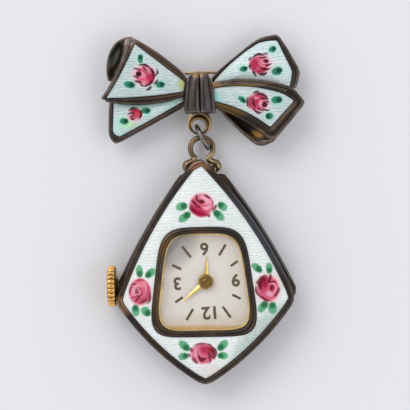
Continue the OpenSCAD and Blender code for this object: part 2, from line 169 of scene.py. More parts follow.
# %% Building a finish
class Finish:
    """One material, built node by node. Its patterns are measured in millimetres."""

    def __init__(self, name):
        self.material = bpy.data.materials.new(name)
        self.material.use_nodes = True
        self.tree = self.material.node_tree
        self.tree.nodes.clear()
        self.output = self.tree.nodes.new("ShaderNodeOutputMaterial")
        place = self.add("ShaderNodeTexCoord", output="Object")
        self.place = self.add("ShaderNodeVectorMath", {"operation": "SCALE"},
                              {0: place, "Scale": 1 / MM})
        self.x, self.y, _ = self.parts(self.place)

    def add(self, kind, settings=None, sockets=None, output=0):
        node = self.tree.nodes.new(kind)
        for key, value in (settings or {}).items():
            setattr(node, key, value)
        for key, value in (sockets or {}).items():
            feed(self.tree, node.inputs[key], value)
        return Level(self.tree, node.outputs[output])

    def parts(self, vector):
        node = self.tree.nodes.new("ShaderNodeSeparateXYZ")
        feed(self.tree, node.inputs[0], vector)
        return [Level(self.tree, out) for out in node.outputs]

    def along(self, place, way):
        """How far a place lies along a way."""
        return self.add("ShaderNodeVectorMath", {"operation": "DOT_PRODUCT"}, {0: place, 1: way},
                        output="Value")

    def mix(self, share, under, over):
        """Colour under, covered by colour over where share is 1."""
        return self.add("ShaderNodeMix", {"data_type": "RGBA"}, {0: share, 6: under, 7: over},
                        output=2)

    def noise(self, size, detail=2.0, stretch=None, rough=0.5):
        """Smooth noise from 0 to 1 with lumps of a size in millimetres."""
        place = self.place
        if stretch:
            place = self.add("ShaderNodeMapping", sockets={"Vector": place, "Scale": stretch})
        return self.add("ShaderNodeTexNoise", sockets={
            "Vector": place, "Scale": 1 / size, "Detail": detail, "Roughness": rough})

    def attribute(self, name):
        return self.add("ShaderNodeAttribute", {"attribute_name": name}, output="Fac")

    def bump(self, height, depth, strength):
        """Relief from a height of 0 to 1, as deep as depth in millimetres."""
        return self.add("ShaderNodeBump", sockets={
            "Height": height, "Distance": depth * MM, "Strength": strength})

    def surface(self, **sockets):
        """The shader itself: names use _ for a space."""
        shader = self.tree.nodes.new("ShaderNodeBsdfPrincipled")
        for key, value in sockets.items():
            feed(self.tree, shader.inputs[key.replace("_", " ")], value)
        self.tree.links.new(shader.outputs[0], self.output.inputs[0])
        return self.material


# %% [markdown]
# Every new piece ends the same way: its normals point outwards, it rides on a body of the frame,
# and it stands for the solid of the same part. Metal pieces also get an attribute named wear,
# which is high on ridges and low in corners. It is worked out here from the shape, because a
# polishing cloth and a pocket touch only what sticks out.

# %% Finishing a piece
WEAR_GAIN = 2.5


def mark_wear(bm):
    """How far each corner sticks out over its neighbours, from -1 to 1, evened out once."""
    wear = bm.verts.layers.float.new("wear")
    for vert in bm.verts:
        ways = [(edge.other_vert(vert).co - vert.co).normalized() for edge in vert.link_edges]
        lean = -sum((way.dot(vert.normal) for way in ways), 0.0) / max(len(ways), 1)
        vert[wear] = max(-1.0, min(1.0, lean * WEAR_GAIN))
    spread = {vert: sum(edge.other_vert(vert)[wear] for edge in vert.link_edges)
              / max(len(vert.link_edges), 1) for vert in bm.verts}
    for vert, value in spread.items():
        vert[wear] = (vert[wear] + value) / 2


def finish_piece(name, bm, material, node, body=PIN, smooth=True, recalc=True):
    """Turn a bmesh into a piece that rides on a body and replaces the solid of a node."""
    if recalc:
        bmesh.ops.recalc_face_normals(bm, faces=bm.faces)
    bm.normal_update()
    mark_wear(bm)
    mesh = bpy.data.meshes.new(name)
    bm.to_mesh(mesh)
    bm.free()
    for face in mesh.polygons:
        face.use_smooth = smooth
    mesh.materials.append(material)
    piece = in_scene(name, mesh)
    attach(piece, body)
    if node:
        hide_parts(node)
    lowest = min(vert.co.z for vert in mesh.vertices) / MM
    print("%-20s %6d faces, lowest at %.2f mm" % (name, len(mesh.polygons), lowest))
    return piece


def sharpen(piece, degrees):
    """Keep edges over an angle crisp under smooth shading."""
    piece.data.set_sharp_from_angle(angle=math.radians(degrees))
    return piece


def subdivide(piece, levels):
    """Round a piece as a whole."""
    soft = piece.modifiers.new("soft", "SUBSURF")
    soft.levels = levels
    soft.render_levels = levels
    return piece


def ease(piece, width, segments=3, degrees=35):
    """Round the edges of a piece by a width in millimetres."""
    bevel = piece.modifiers.new("eased", "BEVEL")
    bevel.width = width * MM
    bevel.segments = segments
    bevel.limit_method = "ANGLE"
    bevel.angle_limit = math.radians(degrees)
    return piece


def merged_copy(node):
    """The frame's solid with its loose triangles welded and paired into four sided faces."""
    bm = bmesh.new()
    bm.from_mesh(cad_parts[node].data)
    bmesh.ops.remove_doubles(bm, verts=bm.verts, dist=WELD)
    bmesh.ops.join_triangles(bm, faces=bm.faces, angle_face_threshold=math.radians(60),
                             angle_shape_threshold=math.radians(100))
    return bm


# %% Shapes that many pieces share
def turned(bm, profile, centre, axis, steps=64):
    """Spin a profile of (radius, height) rows, in millimetres, round an axis."""
    axis = Vector(axis).normalized()
    side = axis.orthogonal().normalized()
    verts = [bm.verts.new(centre + side * (r * MM) + axis * (h * MM)) for r, h in profile]
    edges = [bm.edges.new(pair) for pair in zip(verts, verts[1:])]
    bmesh.ops.spin(bm, geom=verts + edges, cent=centre, axis=axis, angle=2 * math.pi,
                   steps=steps, use_merge=True)
    bmesh.ops.remove_doubles(bm, verts=bm.verts, dist=WELD)


def block(size, centre, rounding=0.0):
    """A block by its size and centre in millimetres, with its edges rounded."""
    bm = bmesh.new()
    bmesh.ops.create_cube(bm, size=1.0)
    bmesh.ops.transform(bm, verts=bm.verts, matrix=(
        Matrix.Translation(mm(*centre)) @ Matrix.Diagonal((*mm(*size), 1))))
    if rounding:
        bmesh.ops.bevel(bm, geom=bm.edges[:], offset=rounding * MM, segments=3, profile=0.5,
                        affect="EDGES", material=-1)
    return bm


def grow(bm, edges):
    """Extrude a ring of edges in place, and give the corners and edges of the new ring."""
    new = bmesh.ops.extrude_edge_only(bm, edges=edges)["geom"]
    return ([g for g in new if isinstance(g, bmesh.types.BMVert)],
            [g for g in new if isinstance(g, bmesh.types.BMEdge)])


def stacked(places, centre, axis, sections):
    """A closed solid from a ring of places, repeated along an axis through a centre.

    A section is a shift along the axis, in millimetres, and a share of the ring's width.
    """
    bm = bmesh.new()
    bmesh.ops.create_circle(bm, cap_ends=False, segments=len(places), radius=1.0)
    verts = list(bm.verts)
    edges = list(bm.edges)
    first_ring = list(edges)
    for vert, place in zip(verts, places):
        vert.co = place
    shift_before, share_before = sections[0][0], 1.0
    for k, (shift, share) in enumerate(sections):
        if k:
            verts, edges = grow(bm, edges)
        ratio = share / share_before
        bmesh.ops.translate(bm, verts=verts, vec=axis * ((shift - shift_before) * MM))
        bmesh.ops.scale(bm, verts=verts, vec=Vector((ratio,) * 3) + axis * (1 - ratio),
                        space=Matrix.Translation(-centre))
        shift_before, share_before = shift, share
    for open_end in (edges, first_ring):
        bmesh.ops.contextual_create(bm, geom=open_end)
    return bm


def shape_of(curve):
    """The mesh of a curve or of a text; the curve itself is cleared away."""
    holder = in_scene("route", curve)
    mesh = bpy.data.meshes.new_from_object(
        holder.evaluated_get(bpy.context.evaluated_depsgraph_get()))
    bm = bmesh.new()
    bm.from_mesh(mesh)
    bpy.data.objects.remove(holder)
    bpy.data.curves.remove(curve)
    bpy.data.meshes.remove(mesh)
    return bm


def swept(points, radii, sides=12):
    """A closed tube along points in millimetres, with a radius at each: a bmesh of its own."""
    curve = bpy.data.curves.new("route", "CURVE")
    curve.dimensions = "3D"
    curve.bevel_depth = MM
    curve.bevel_resolution = sides // 4
    curve.use_fill_caps = True
    spline = curve.splines.new("NURBS")
    spline.points.add(len(points) - 1)
    for knot, point, radius in zip(spline.points, points, radii):
        knot.co = (*(Vector(point) * MM), 1)
        knot.radius = radius
    spline.order_u = 3
    spline.use_endpoint_u = True
    spline.resolution_u = 6
    bm = shape_of(curve)
    bmesh.ops.remove_doubles(bm, verts=bm.verts, dist=WELD)
    return bm


def join(bm, other):
    """Move another bmesh's shape into this one."""
    mesh = bpy.data.meshes.new("joined")
    other.to_mesh(mesh)
    other.free()
    bm.from_mesh(mesh)
    bpy.data.meshes.remove(mesh)


# %% [markdown]
# Old silver with worn gilding is the main metal. It is dark where dirt and sulphur have lain in
# the corners, brown where a film of copper shows, and light only on ridges that were rubbed. The
# wear attribute picks those places, and noise at two sizes breaks the masks up, because nothing
# wears evenly. Fine scratches and pits go into the relief and the roughness.

# %% Metals
def patch(finish, spot, softness=0.6):
    """Mask of an oval spot: x, y, half length, half width and turn, in millimetres and degrees."""
    x, y, half_l, half_w, turn = spot
    local = finish.add("ShaderNodeMapping", {"vector_type": "TEXTURE"}, {
        "Vector": finish.place, "Location": (x, y, 0), "Rotation": (0, 0, math.radians(turn)),
        "Scale": (half_l, half_w, 1000)})
    u, v, _ = finish.parts(local)
    return (u * u + v * v).ramp(1 + softness, 1 - softness)


COPPER_FILM = paint(88, 66, 48)


def old_metal(name, dark, mid, light, gloss=0.34, worn_from=0.10, patches=(), grain=1.0,
              hollow=(-0.25, 0.08)):
    """Tarnished metal: dark in hollows, mid on flats, light where the wear passes worn_from."""
    finish = Finish(name)
    cloud = finish.noise(1.6, detail=4.0)
    speck = finish.noise(0.16, detail=3.0, rough=0.65)
    wear = finish.attribute("wear") + (cloud - 0.5) * 0.35 + (speck - 0.5) * 0.12
    colour = finish.mix(wear.ramp(*hollow), dark, mid)
    film = finish.noise(4.5, detail=2.0).ramp(0.45, 0.62) * 0.4
    colour = finish.mix(film, colour, COPPER_FILM)
    for spot, tone, strength in patches:
        share = patch(finish, spot) * (0.4 + speck).clamped() * strength
        colour = finish.mix(share, colour, tone)
    rubbed = wear.ramp(worn_from, worn_from + 0.35) * (cloud.ramp(0.3, 0.6) * 0.6 + 0.4)
    colour = finish.mix(rubbed, colour, light)
    colour = finish.mix(speck.ramp(0.62, 0.75) * 0.35, colour, dark)
    scratch = finish.noise(0.09, detail=2.0, stretch=(1.0, 0.16, 1.0))
    relief = finish.bump(speck * 0.6 + scratch * 0.4, 0.012 * grain, 0.6)
    return finish.surface(
        Base_Color=colour, Metallic=wear.ramp(-0.6, 0.1) * 0.35 + 0.62, Normal=relief,
        Roughness=gloss + speck * 0.16 - wear.ramp(0.1, 0.6) * 0.1)


GILT = paint(156, 118, 64)
COPPER = paint(152, 114, 88)
SILVER_LIGHT = paint(112, 100, 90)
SILVER_MID = paint(60, 54, 51)
SILVER_DARK = paint(26, 22, 19)

frame_metal = old_metal(
    "frame_silver", SILVER_DARK, SILVER_MID, SILVER_LIGHT, worn_from=0.45, hollow=(-0.8, 0.3),
    patches=[((-0.6, 18.7, 2.6, 1.3, 0), COPPER, 0.95),
             ((-13.2, -3.4, 1.7, 0.9, -50), COPPER, 0.9),
             # Painted reflection: a lighter bluish grey strip along the upper right rim
             ((8.6, 7.0, 1.0, 8.0, 34), paint(92, 96, 106), 0.6),
             ((-6.6, 6.0, 1.6, 2.6, -40), paint(118, 90, 54), 0.6),
             ((-7.9, -1.0, 0.8, 6.0, 7), paint(104, 80, 52), 0.5)])
bow_metal = old_metal(
    "bow_silver", SILVER_DARK, SILVER_MID, paint(126, 114, 106), gloss=0.28, worn_from=0.18,
    patches=[((-7.5, 35.2, 6.0, 1.4, -36), paint(112, 88, 74), 0.6),
             ((-11.4, 38.2, 1.3, 0.9, 0), paint(176, 160, 156), 0.7),
             ((4.0, 27.1, 2.8, 0.7, -22), paint(112, 86, 50), 0.8),
             # Painted highlight: a pale grey green streak across the left curl's hollow
             ((-13.75, 35.3, 1.7, 0.42, 62), paint(128, 140, 136), 0.9),
             ((2.0, 30.75, 1.1, 0.5, 0), paint(196, 148, 88), 0.9),
             ((6.0, 30.55, 5.0, 0.3, 3), GILT, 0.75),
             ((8.3, 22.9, 1.4, 0.7, 10), paint(136, 100, 50), 0.8)])
knot_metal = old_metal(
    "knot_silver", paint(26, 24, 24), paint(84, 79, 80), paint(160, 152, 156), gloss=0.26,
    worn_from=0.14, patches=[((-0.55, 32.6, 1.1, 0.7, 0), paint(168, 140, 96), 0.8)])
case_metal = old_metal(
    "case_silver", paint(26, 20, 17), paint(52, 43, 38), paint(116, 96, 76), worn_from=0.7)
brass = old_metal(
    "old_brass", paint(42, 31, 20), paint(98, 77, 52), paint(206, 176, 128), gloss=0.27)
bronze = old_metal(
    "bronze_wire", paint(46, 36, 28), paint(160, 138, 108), paint(248, 236, 212), gloss=0.13,
    worn_from=0.04)
link_metal = old_metal(
    "link_wire", paint(30, 28, 28), paint(78, 74, 72), paint(180, 174, 168), gloss=0.28)
steel = old_metal(
    "plain_steel", paint(90, 90, 90), paint(165, 165, 165), paint(205, 205, 205), gloss=0.3)
gilding = old_metal(
    "gilding", paint(160, 124, 66), paint(226, 184, 102), paint(250, 224, 152), gloss=0.3,
    # Painted shade: the ring is darker brown over its upper left
    patches=[((-6.5, 4.5, 5.0, 7.0, 0), paint(140, 118, 88), 0.8)])
hand_gold = old_metal(
    "hand_gold", paint(104, 76, 30), paint(174, 140, 74), paint(220, 188, 114), gloss=0.24,
    grain=0.4)
crown_gold = old_metal(
    "crown_gold", paint(70, 38, 14), paint(166, 114, 58), paint(240, 194, 118), gloss=0.3,
    worn_from=0.02)
print("metals:", len(bpy.data.materials))

# %% [markdown]
# The roses are painted in vitrifiable colours with a fine brush, before the last clear firing.
# An image would be the quick way, but a painter's rose is a dozen strokes, so here each stroke is
# a bent oval: a Mapping node moves the surface to the stroke's own place, where u runs along it
# and v across it, and u*u bends it into an arc. The charts below give each stroke by the points
# that the brush passes, in millimetres on the jewel.

# %% Brush strokes
PIGMENTS = {
    "dark": paint(62, 0, 18), "wine": paint(100, 0, 22), "brown": paint(110, 18, 34),
    "rose": paint(170, 18, 60), "red": paint(182, 16, 48), "pink": paint(208, 70, 110),
    "pale": paint(244, 180, 200), "salmon": paint(238, 160, 158), "halo": paint(246, 226, 232),
    "lilac": paint(232, 190, 216), "leaf": paint(82, 164, 118), "shade": paint(0, 92, 50),
    "teal": paint(14, 118, 88), "teal_shade": paint(0, 52, 36),
    "teal_halo": paint(134, 218, 192)}
# The dark pigments run wider than the brush
RUNNING = ("dark", "brown", "wine")
RUN = 1.4


def arc(points):
    """Place, half length, turn and bend of the arc through the first, middle and last point."""
    first, middle, last = (Vector(p) for p in (points[0], points[len(points) // 2], points[-1]))
    chord = last - first
    centre = (first + last) / 2
    across = Vector((-chord.y, chord.x)).normalized()
    bend = (middle - centre).dot(across)
    return centre + across * bend, chord.length / 2, math.atan2(chord.y, chord.x), bend


def stroke(finish, under, place, colour, width, points, strength=1.0, soft=0.35):
    """Lay one brush stroke of a width over the colour under it."""
    if len(points) > 3:
        half = len(points) // 2 + len(points) % 2
        under = stroke(finish, under, place, colour, width, points[:half], strength, soft)
        return stroke(finish, under, place, colour, width, points[half - 1:], strength, soft)
    centre, half_l, turn, bend = arc(points)
    half_w = width / 2 * (RUN if colour in RUNNING else 1.0)
    way = Vector((math.cos(turn), math.sin(turn), 0)) / (half_l + half_w * 0.5)
    side = Vector((-math.sin(turn), math.cos(turn), 0)) / half_w
    u = finish.along(place, way) - centre.to_3d().dot(way)
    v = finish.along(place, side) - centre.to_3d().dot(side)
    along = u * u
    across = along.math("MULTIPLY_ADD", bend / half_w, v)
    reach = across.math("MULTIPLY_ADD", across, along)
    mask = reach.ramp(1 + soft, 1 - soft) * strength
    return finish.mix(mask, under, PIGMENTS[colour])


def facing(turn):
    """The way that a turn in degrees points to."""
    return Vector((math.cos(math.radians(turn)), math.sin(math.radians(turn))))


def blot(x, y, length, width, turn=0.0):
    """A dab of the brush, as the ends and the middle of a straight stroke."""
    way = facing(turn) * (length / 2 - width / 4)
    middle = Vector((x, y))
    return [middle - way, middle, middle + way]


def painted(leaves, *roses):
    """Strokes in the painter's order: the pale ground of each rose, the leaves, the petals."""
    return [rose[0] for rose in roses] + leaves + [mark for rose in roses for mark in rose[1:]]


def leaf(x, y, length, width, turn, pigment="leaf", shade="shade", dark_end=1):
    """A leaf: a dab, with a darker dab at one end."""
    way = facing(turn) * length * 0.22 * dark_end
    under = blot(x, y, length * 1.06, width, turn)
    over = blot(x + way.x, y + way.y, length * 0.58, width * 0.78, turn)
    return [(pigment, width * 1.06, under, 0.95, 0.32), (shade, width * 0.78, over, 0.85, 0.65)]


# %% Charts of the roses on the watch
top_rose = [
    ("halo", 4.6, blot(-0.4, 12.0, 4.8, 4.4), 0.5, 0.5),
    ("pink", 3.6, blot(-0.35, 12.0, 3.8, 3.6), 0.9, 0.25),
    ("pale", 1.5, blot(0.4, 12.9, 2.0, 1.5, -30), 0.7, 0.7),
    ("rose", 1.7, blot(-1.0, 11.2, 2.2, 1.6, -30), 0.75, 0.6),
    ("rose", 1.0, [(-1.6, 11.2), (-0.6, 10.6), (0.6, 10.6)], 0.8, 0.5),
    ("pale", 0.45, [(-0.2, 11.6), (0.6, 11.5), (1.1, 11.9)], 0.7, 0.5),
    ("wine", 0.5, [(-2.1, 11.9), (-1.9, 11.3), (-1.4, 11.0)], 0.8, 0.6),
    ("rose", 0.4, [(-1.6, 11.0), (-0.6, 10.5), (0.6, 10.5)], 0.9, 0.4),
    ("wine", 0.3, [(-1.75, 12.8), (-1.4, 12.2), (-0.6, 11.6)], 0.75, 0.5),
    ("wine", 0.28, [(-1.1, 13.6), (-1.05, 12.8), (-0.6, 12.3)], 0.85, 0.4),
    ("wine", 0.5, blot(-0.3, 12.5, 0.9, 0.5), 0.95, 0.4),
    ("wine", 0.28, [(0.0, 13.55), (0.6, 13.25), (1.0, 12.9)], 0.9, 0.4),
    ("brown", 0.16, [(1.0, 12.9), (1.35, 12.4), (1.35, 11.7)], 0.6, 0.6),
    ("wine", 0.26, [(-1.6, 11.15), (-0.9, 10.72), (0.0, 10.6)], 0.5, 0.7),
    ("wine", 0.25, [(-1.9, 12.7), (-1.6, 12.55), (-1.3, 12.1)], 0.7, 0.5),
    ("brown", 0.35, [(1.3, 11.2), (1.7, 11.5), (1.9, 11.95)], 0.85, 0.4),
    ("brown", 0.35, blot(0.75, 10.25, 0.45, 0.35), 0.8, 0.4)]
left_rose = [
    ("halo", 4.6, blot(-10.3, -1.4, 5.0, 4.6, 90), 0.5, 0.5),
    ("pink", 3.5, blot(-10.3, -1.4, 4.2, 3.5, 90), 0.9, 0.22),
    ("rose", 0.9, blot(-8.95, -1.7, 2.6, 0.8, 92), 0.45, 0.9),
    ("pale", 0.9, blot(-11.0, -1.0, 1.6, 0.9, 60), 0.5, 0.8),
    ("salmon", 0.9, blot(-9.9, -0.3, 1.6, 0.9, 20), 0.4, 0.8),
    ("rose", 0.9, blot(-9.9, -2.7, 1.8, 0.9, 10), 0.45, 0.9),
    ("pale", 1.2, blot(-10.9, -1.3, 2.0, 1.2, 80), 0.4, 0.9),
    ("pale", 0.24, [(-9.7, 0.0), (-9.3, -0.7), (-9.4, -1.6)], 0.5, 0.6),
    ("rose", 0.35, [(-10.9, 0.3), (-10.2, 0.5), (-9.5, 0.4)], 0.8, 0.4),
    ("wine", 0.22, [(-11.6, -0.25), (-11.2, -0.15), (-10.9, -0.2)], 0.85, 0.4),
    ("brown", 0.2, [(-11.9, -1.7), (-11.8, -1.0), (-11.5, -0.5)], 0.85, 0.4),
    ("wine", 0.45, blot(-10.8, -1.3, 0.9, 0.45, 90), 0.8, 0.5),
    ("rose", 0.25, [(-11.0, -0.7), (-10.3, -0.8), (-10.1, -1.5)], 0.8, 0.5),
    ("rose", 0.3, [(-11.6, -2.3), (-10.9, -2.15), (-10.4, -1.9)], 0.8, 0.4),
    ("brown", 0.3, [(-11.0, -2.9), (-10.7, -2.5), (-10.3, -2.2)], 0.85, 0.4),
    ("wine", 0.3, [(-10.3, -3.1), (-9.8, -2.95), (-9.2, -2.4)], 0.7, 0.6),
    ("brown", 0.2, [(-10.7, -2.1), (-10.2, -2.0), (-9.9, -1.5)], 0.7, 0.5),
    ("brown", 0.3, [(-8.75, -2.2), (-8.9, -2.9), (-9.3, -3.3)], 0.6, 0.6),
    ("brown", 0.25, [(-8.8, -1.6), (-8.7, -2.3), (-8.9, -3.0)], 0.8, 0.4)]
right_rose = [
    ("salmon", 4.2, blot(9.8, -1.3, 4.8, 4.2, 90), 0.5, 0.5),
    ("pink", 3.4, blot(9.8, -1.3, 4.0, 3.4, 90), 0.9, 0.25),
    ("rose", 1.5, blot(9.2, -0.3, 2.1, 1.4, 80), 0.85, 0.6),
    ("rose", 0.9, blot(9.3, -1.7, 1.2, 0.9), 0.4, 0.9),
    ("lilac", 0.8, blot(10.0, -2.1, 1.2, 0.8, -20), 0.55, 0.8),
    ("wine", 0.3, [(9.5, 0.6), (9.25, -0.2), (9.4, -1.0)], 0.7, 0.6),
    ("pale", 0.24, [(10.0, -0.6), (10.6, -0.55), (11.05, -1.0)], 0.6, 0.5),
    ("pale", 0.28, [(10.95, -1.0), (10.95, -1.6), (10.5, -2.1)], 0.5, 0.5),
    ("wine", 0.6, [(9.3, 0.7), (8.6, 0.0), (8.7, -1.3)], 0.9, 0.35),
    ("wine", 0.35, [(10.2, 0.9), (10.1, 0.3), (9.8, -0.3)], 0.9, 0.4),
    ("wine", 0.25, [(10.0, -0.4), (10.5, -0.2), (11.1, -0.4)], 0.85, 0.4),
    ("wine", 0.5, blot(10.35, -1.15, 0.95, 0.5, 80), 0.9, 0.4),
    ("brown", 0.35, [(11.5, -1.2), (11.2, -1.9), (10.7, -2.5)], 0.85, 0.4),
    ("wine", 0.32, [(7.9, -0.9), (8.0, -1.8), (8.5, -2.4), (9.2, -2.9), (10.0, -3.2)], 0.85, 0.4),
    ("brown", 0.4, blot(8.1, -0.3, 0.5, 0.4, 60), 0.7, 0.5)]
bottom_rose = [
    ("halo", 4.0, blot(-0.6, -11.3, 4.8, 4.0), 0.5, 0.5),
    ("pink", 3.2, blot(-0.6, -11.25, 3.9, 3.2), 0.9, 0.25),
    ("pale", 1.1, blot(-1.6, -11.0, 1.5, 1.1, 60), 0.45, 0.8),
    ("rose", 1.3, blot(-0.1, -10.7, 2.2, 1.3, -10), 0.8, 0.7),
    ("wine", 0.2, [(-1.35, -10.7), (-1.35, -11.3), (-1.0, -11.7)], 0.6, 0.5),
    ("pale", 0.2, [(-1.65, -11.3), (-1.5, -12.0), (-1.05, -12.6)], 0.6, 0.5),
    ("brown", 0.25, [(-2.0, -10.0), (-0.5, -9.65), (1.0, -10.2)], 0.85, 0.4),
    ("wine", 0.5, [(0.6, -10.25), (1.3, -11.0), (1.15, -11.9)], 0.9, 0.4),
    ("wine", 0.25, [(0.2, -10.4), (0.75, -10.9), (1.0, -11.6)], 0.75, 0.5),
    ("wine", 0.3, [(0.2, -11.0), (0.8, -11.8), (1.2, -12.0)], 0.8, 0.4),
    ("wine", 0.28, [(0.1, -11.6), (0.5, -12.2), (0.4, -12.7)], 0.8, 0.4),
    ("wine", 0.4, [(-2.2, -11.9), (-1.9, -12.4), (-1.6, -12.7)], 0.8, 0.4),
    ("wine", 0.5, [(-1.3, -11.65), (-0.85, -12.15), (-0.2, -11.9)], 0.9, 0.4),
    ("wine", 0.4, blot(-2.45, -10.55, 0.75, 0.4, -60), 0.8, 0.5),
    ("wine", 0.35, blot(-2.8, -11.45, 0.65, 0.35, -60), 0.8, 0.5),
    ("salmon", 0.3, blot(-0.1, -9.7, 0.5, 0.3), 0.6, 0.5)]
watch_leaves = (
    leaf(-3.5, 11.8, 1.7, 1.3, 10) + leaf(-3.05, 10.15, 2.1, 1.2, 38)
    + leaf(2.9, 11.7, 1.6, 1.2, -38, dark_end=-1) + leaf(2.3, 10.3, 2.0, 1.2, -45, dark_end=-1)
    + leaf(-10.3, 1.8, 1.8, 1.1, 95, dark_end=-1) + leaf(-8.6, 1.5, 1.8, 1.1, 42, dark_end=-1)
    + leaf(-11.0, -4.3, 1.7, 1.2, 95) + leaf(-9.4, -4.5, 1.6, 1.3, -40)
    + leaf(8.1, 2.0, 1.8, 1.1, -40) + leaf(10.0, 1.9, 1.6, 1.0, 92, dark_end=-1)
    + leaf(8.9, -4.1, 2.0, 1.2, 52) + leaf(10.4, -4.3, 1.7, 1.3, 90)
    + leaf(-3.5, -9.95, 1.9, 1.2, -45) + leaf(-3.7, -11.6, 1.5, 1.1, 10)
    + leaf(2.5, -10.0, 1.9, 1.2, 45, dark_end=-1) + leaf(2.5, -11.6, 1.5, 1.1, 0, dark_end=-1))
watch_roses = painted(watch_leaves, top_rose, left_rose, right_rose, bottom_rose)


# %% Charts of the roses on the bow
def bow_leaf(x, y, length, width, turn, dark_end=1):
    """A leaf of the bow: darker, in a pale green halo that ran in the firing."""
    halo = [("teal_halo", width * 1.7, blot(x, y, length * 1.45, width * 1.7, turn), 0.45, 0.6)]
    return halo + leaf(x, y, length, width, turn, "teal", "teal_shade", dark_end)


left_loop_rose = painted(
    bow_leaf(-9.55, 35.1, 1.3, 0.8, 90) + bow_leaf(-11.35, 31.1, 1.7, 1.0, -10)
    + bow_leaf(-6.5, 31.0, 1.3, 0.95, 5), [
        ("pale", 3.6, blot(-9.1, 32.5, 3.9, 3.5), 0.6, 0.35),
        ("pink", 2.9, blot(-8.8, 32.5, 3.0, 2.9), 0.9, 0.25),
        ("rose", 1.2, blot(-8.0, 32.4, 2.4, 1.2, 100), 0.85, 0.5),
        ("pale", 0.7, blot(-8.4, 33.25, 1.2, 0.7, -50), 0.4, 0.8),
        ("pale", 1.0, blot(-9.3, 32.6, 1.4, 1.0), 0.4, 0.8),
        ("salmon", 0.45, blot(-9.1, 31.45, 0.8, 0.45), 0.6, 0.5),
        ("rose", 0.22, [(-9.3, 33.4), (-8.75, 32.7), (-8.6, 31.8)], 0.7, 0.5),
        ("dark", 0.3, [(-9.7, 34.1), (-8.9, 34.15), (-8.2, 33.7)], 0.95, 0.35),
        ("dark", 0.28, [(-8.2, 33.75), (-7.55, 32.8), (-7.6, 31.9)], 0.95, 0.35),
        ("dark", 0.28, [(-7.6, 31.95), (-8.1, 31.2), (-9.1, 30.85)], 0.95, 0.35),
        ("dark", 0.22, [(-9.1, 30.85), (-9.4, 30.95), (-9.6, 31.2)], 0.9, 0.35),
        ("dark", 0.2, [(-9.2, 33.9), (-8.8, 33.4), (-8.6, 32.9)], 0.85, 0.4),
        ("dark", 0.58, blot(-9.85, 32.75, 0.85, 0.6), 1.0, 0.3),
        ("dark", 0.2, [(-10.7, 33.55), (-10.1, 33.55), (-9.6, 33.2)], 0.9, 0.35),
        ("dark", 0.22, [(-10.75, 32.45), (-10.3, 32.3), (-9.9, 32.1)], 0.9, 0.35),
        ("dark", 0.28, [(-10.5, 31.65), (-9.9, 31.5), (-9.4, 31.35)], 0.9, 0.35),
        ("dark", 0.28, [(-7.0, 33.4), (-6.95, 32.8), (-7.3, 32.4)], 0.9, 0.35),
        ("dark", 0.28, [(-6.95, 31.75), (-7.1, 31.4), (-7.4, 31.15)], 0.9, 0.35),
        ("dark", 0.32, [(-8.0, 30.75), (-8.25, 30.4), (-8.7, 30.25)], 0.9, 0.35)])
left_tail_rose = painted(
    bow_leaf(-8.95, 27.05, 1.4, 0.9, -5) + bow_leaf(-12.4, 25.45, 1.3, 0.95, 0), [
        ("pale", 2.3, blot(-10.7, 26.4, 2.7, 2.2), 0.6, 0.4),
        ("red", 1.5, blot(-10.4, 26.6, 1.7, 1.5), 0.9, 0.4),
        ("pink", 0.6, blot(-11.0, 25.85, 1.2, 0.5, -10), 0.75, 0.5),
        ("rose", 0.5, [(-11.2, 26.9), (-10.6, 27.1), (-10.1, 26.7)], 0.9, 0.5),
        ("dark", 0.18, [(-11.2, 26.9), (-10.9, 26.7), (-10.9, 26.3)], 0.8, 0.4),
        ("pink", 0.3, [(-10.5, 26.1), (-10.3, 26.5), (-10.35, 26.9)], 0.6, 0.6),
        ("dark", 0.3, [(-11.6, 27.0), (-10.9, 27.45), (-10.2, 27.3)], 0.95, 0.35),
        ("dark", 0.3, [(-10.1, 27.3), (-9.65, 26.5), (-10.15, 25.7)], 0.95, 0.35),
        ("dark", 0.2, [(-11.8, 26.4), (-11.4, 26.7), (-11.0, 26.6)], 0.9, 0.35),
        ("dark", 0.2, [(-11.5, 26.05), (-11.2, 26.2), (-10.95, 26.15)], 0.9, 0.35),
        ("dark", 0.3, blot(-11.05, 25.75, 0.5, 0.35, -60), 0.9, 0.35)])
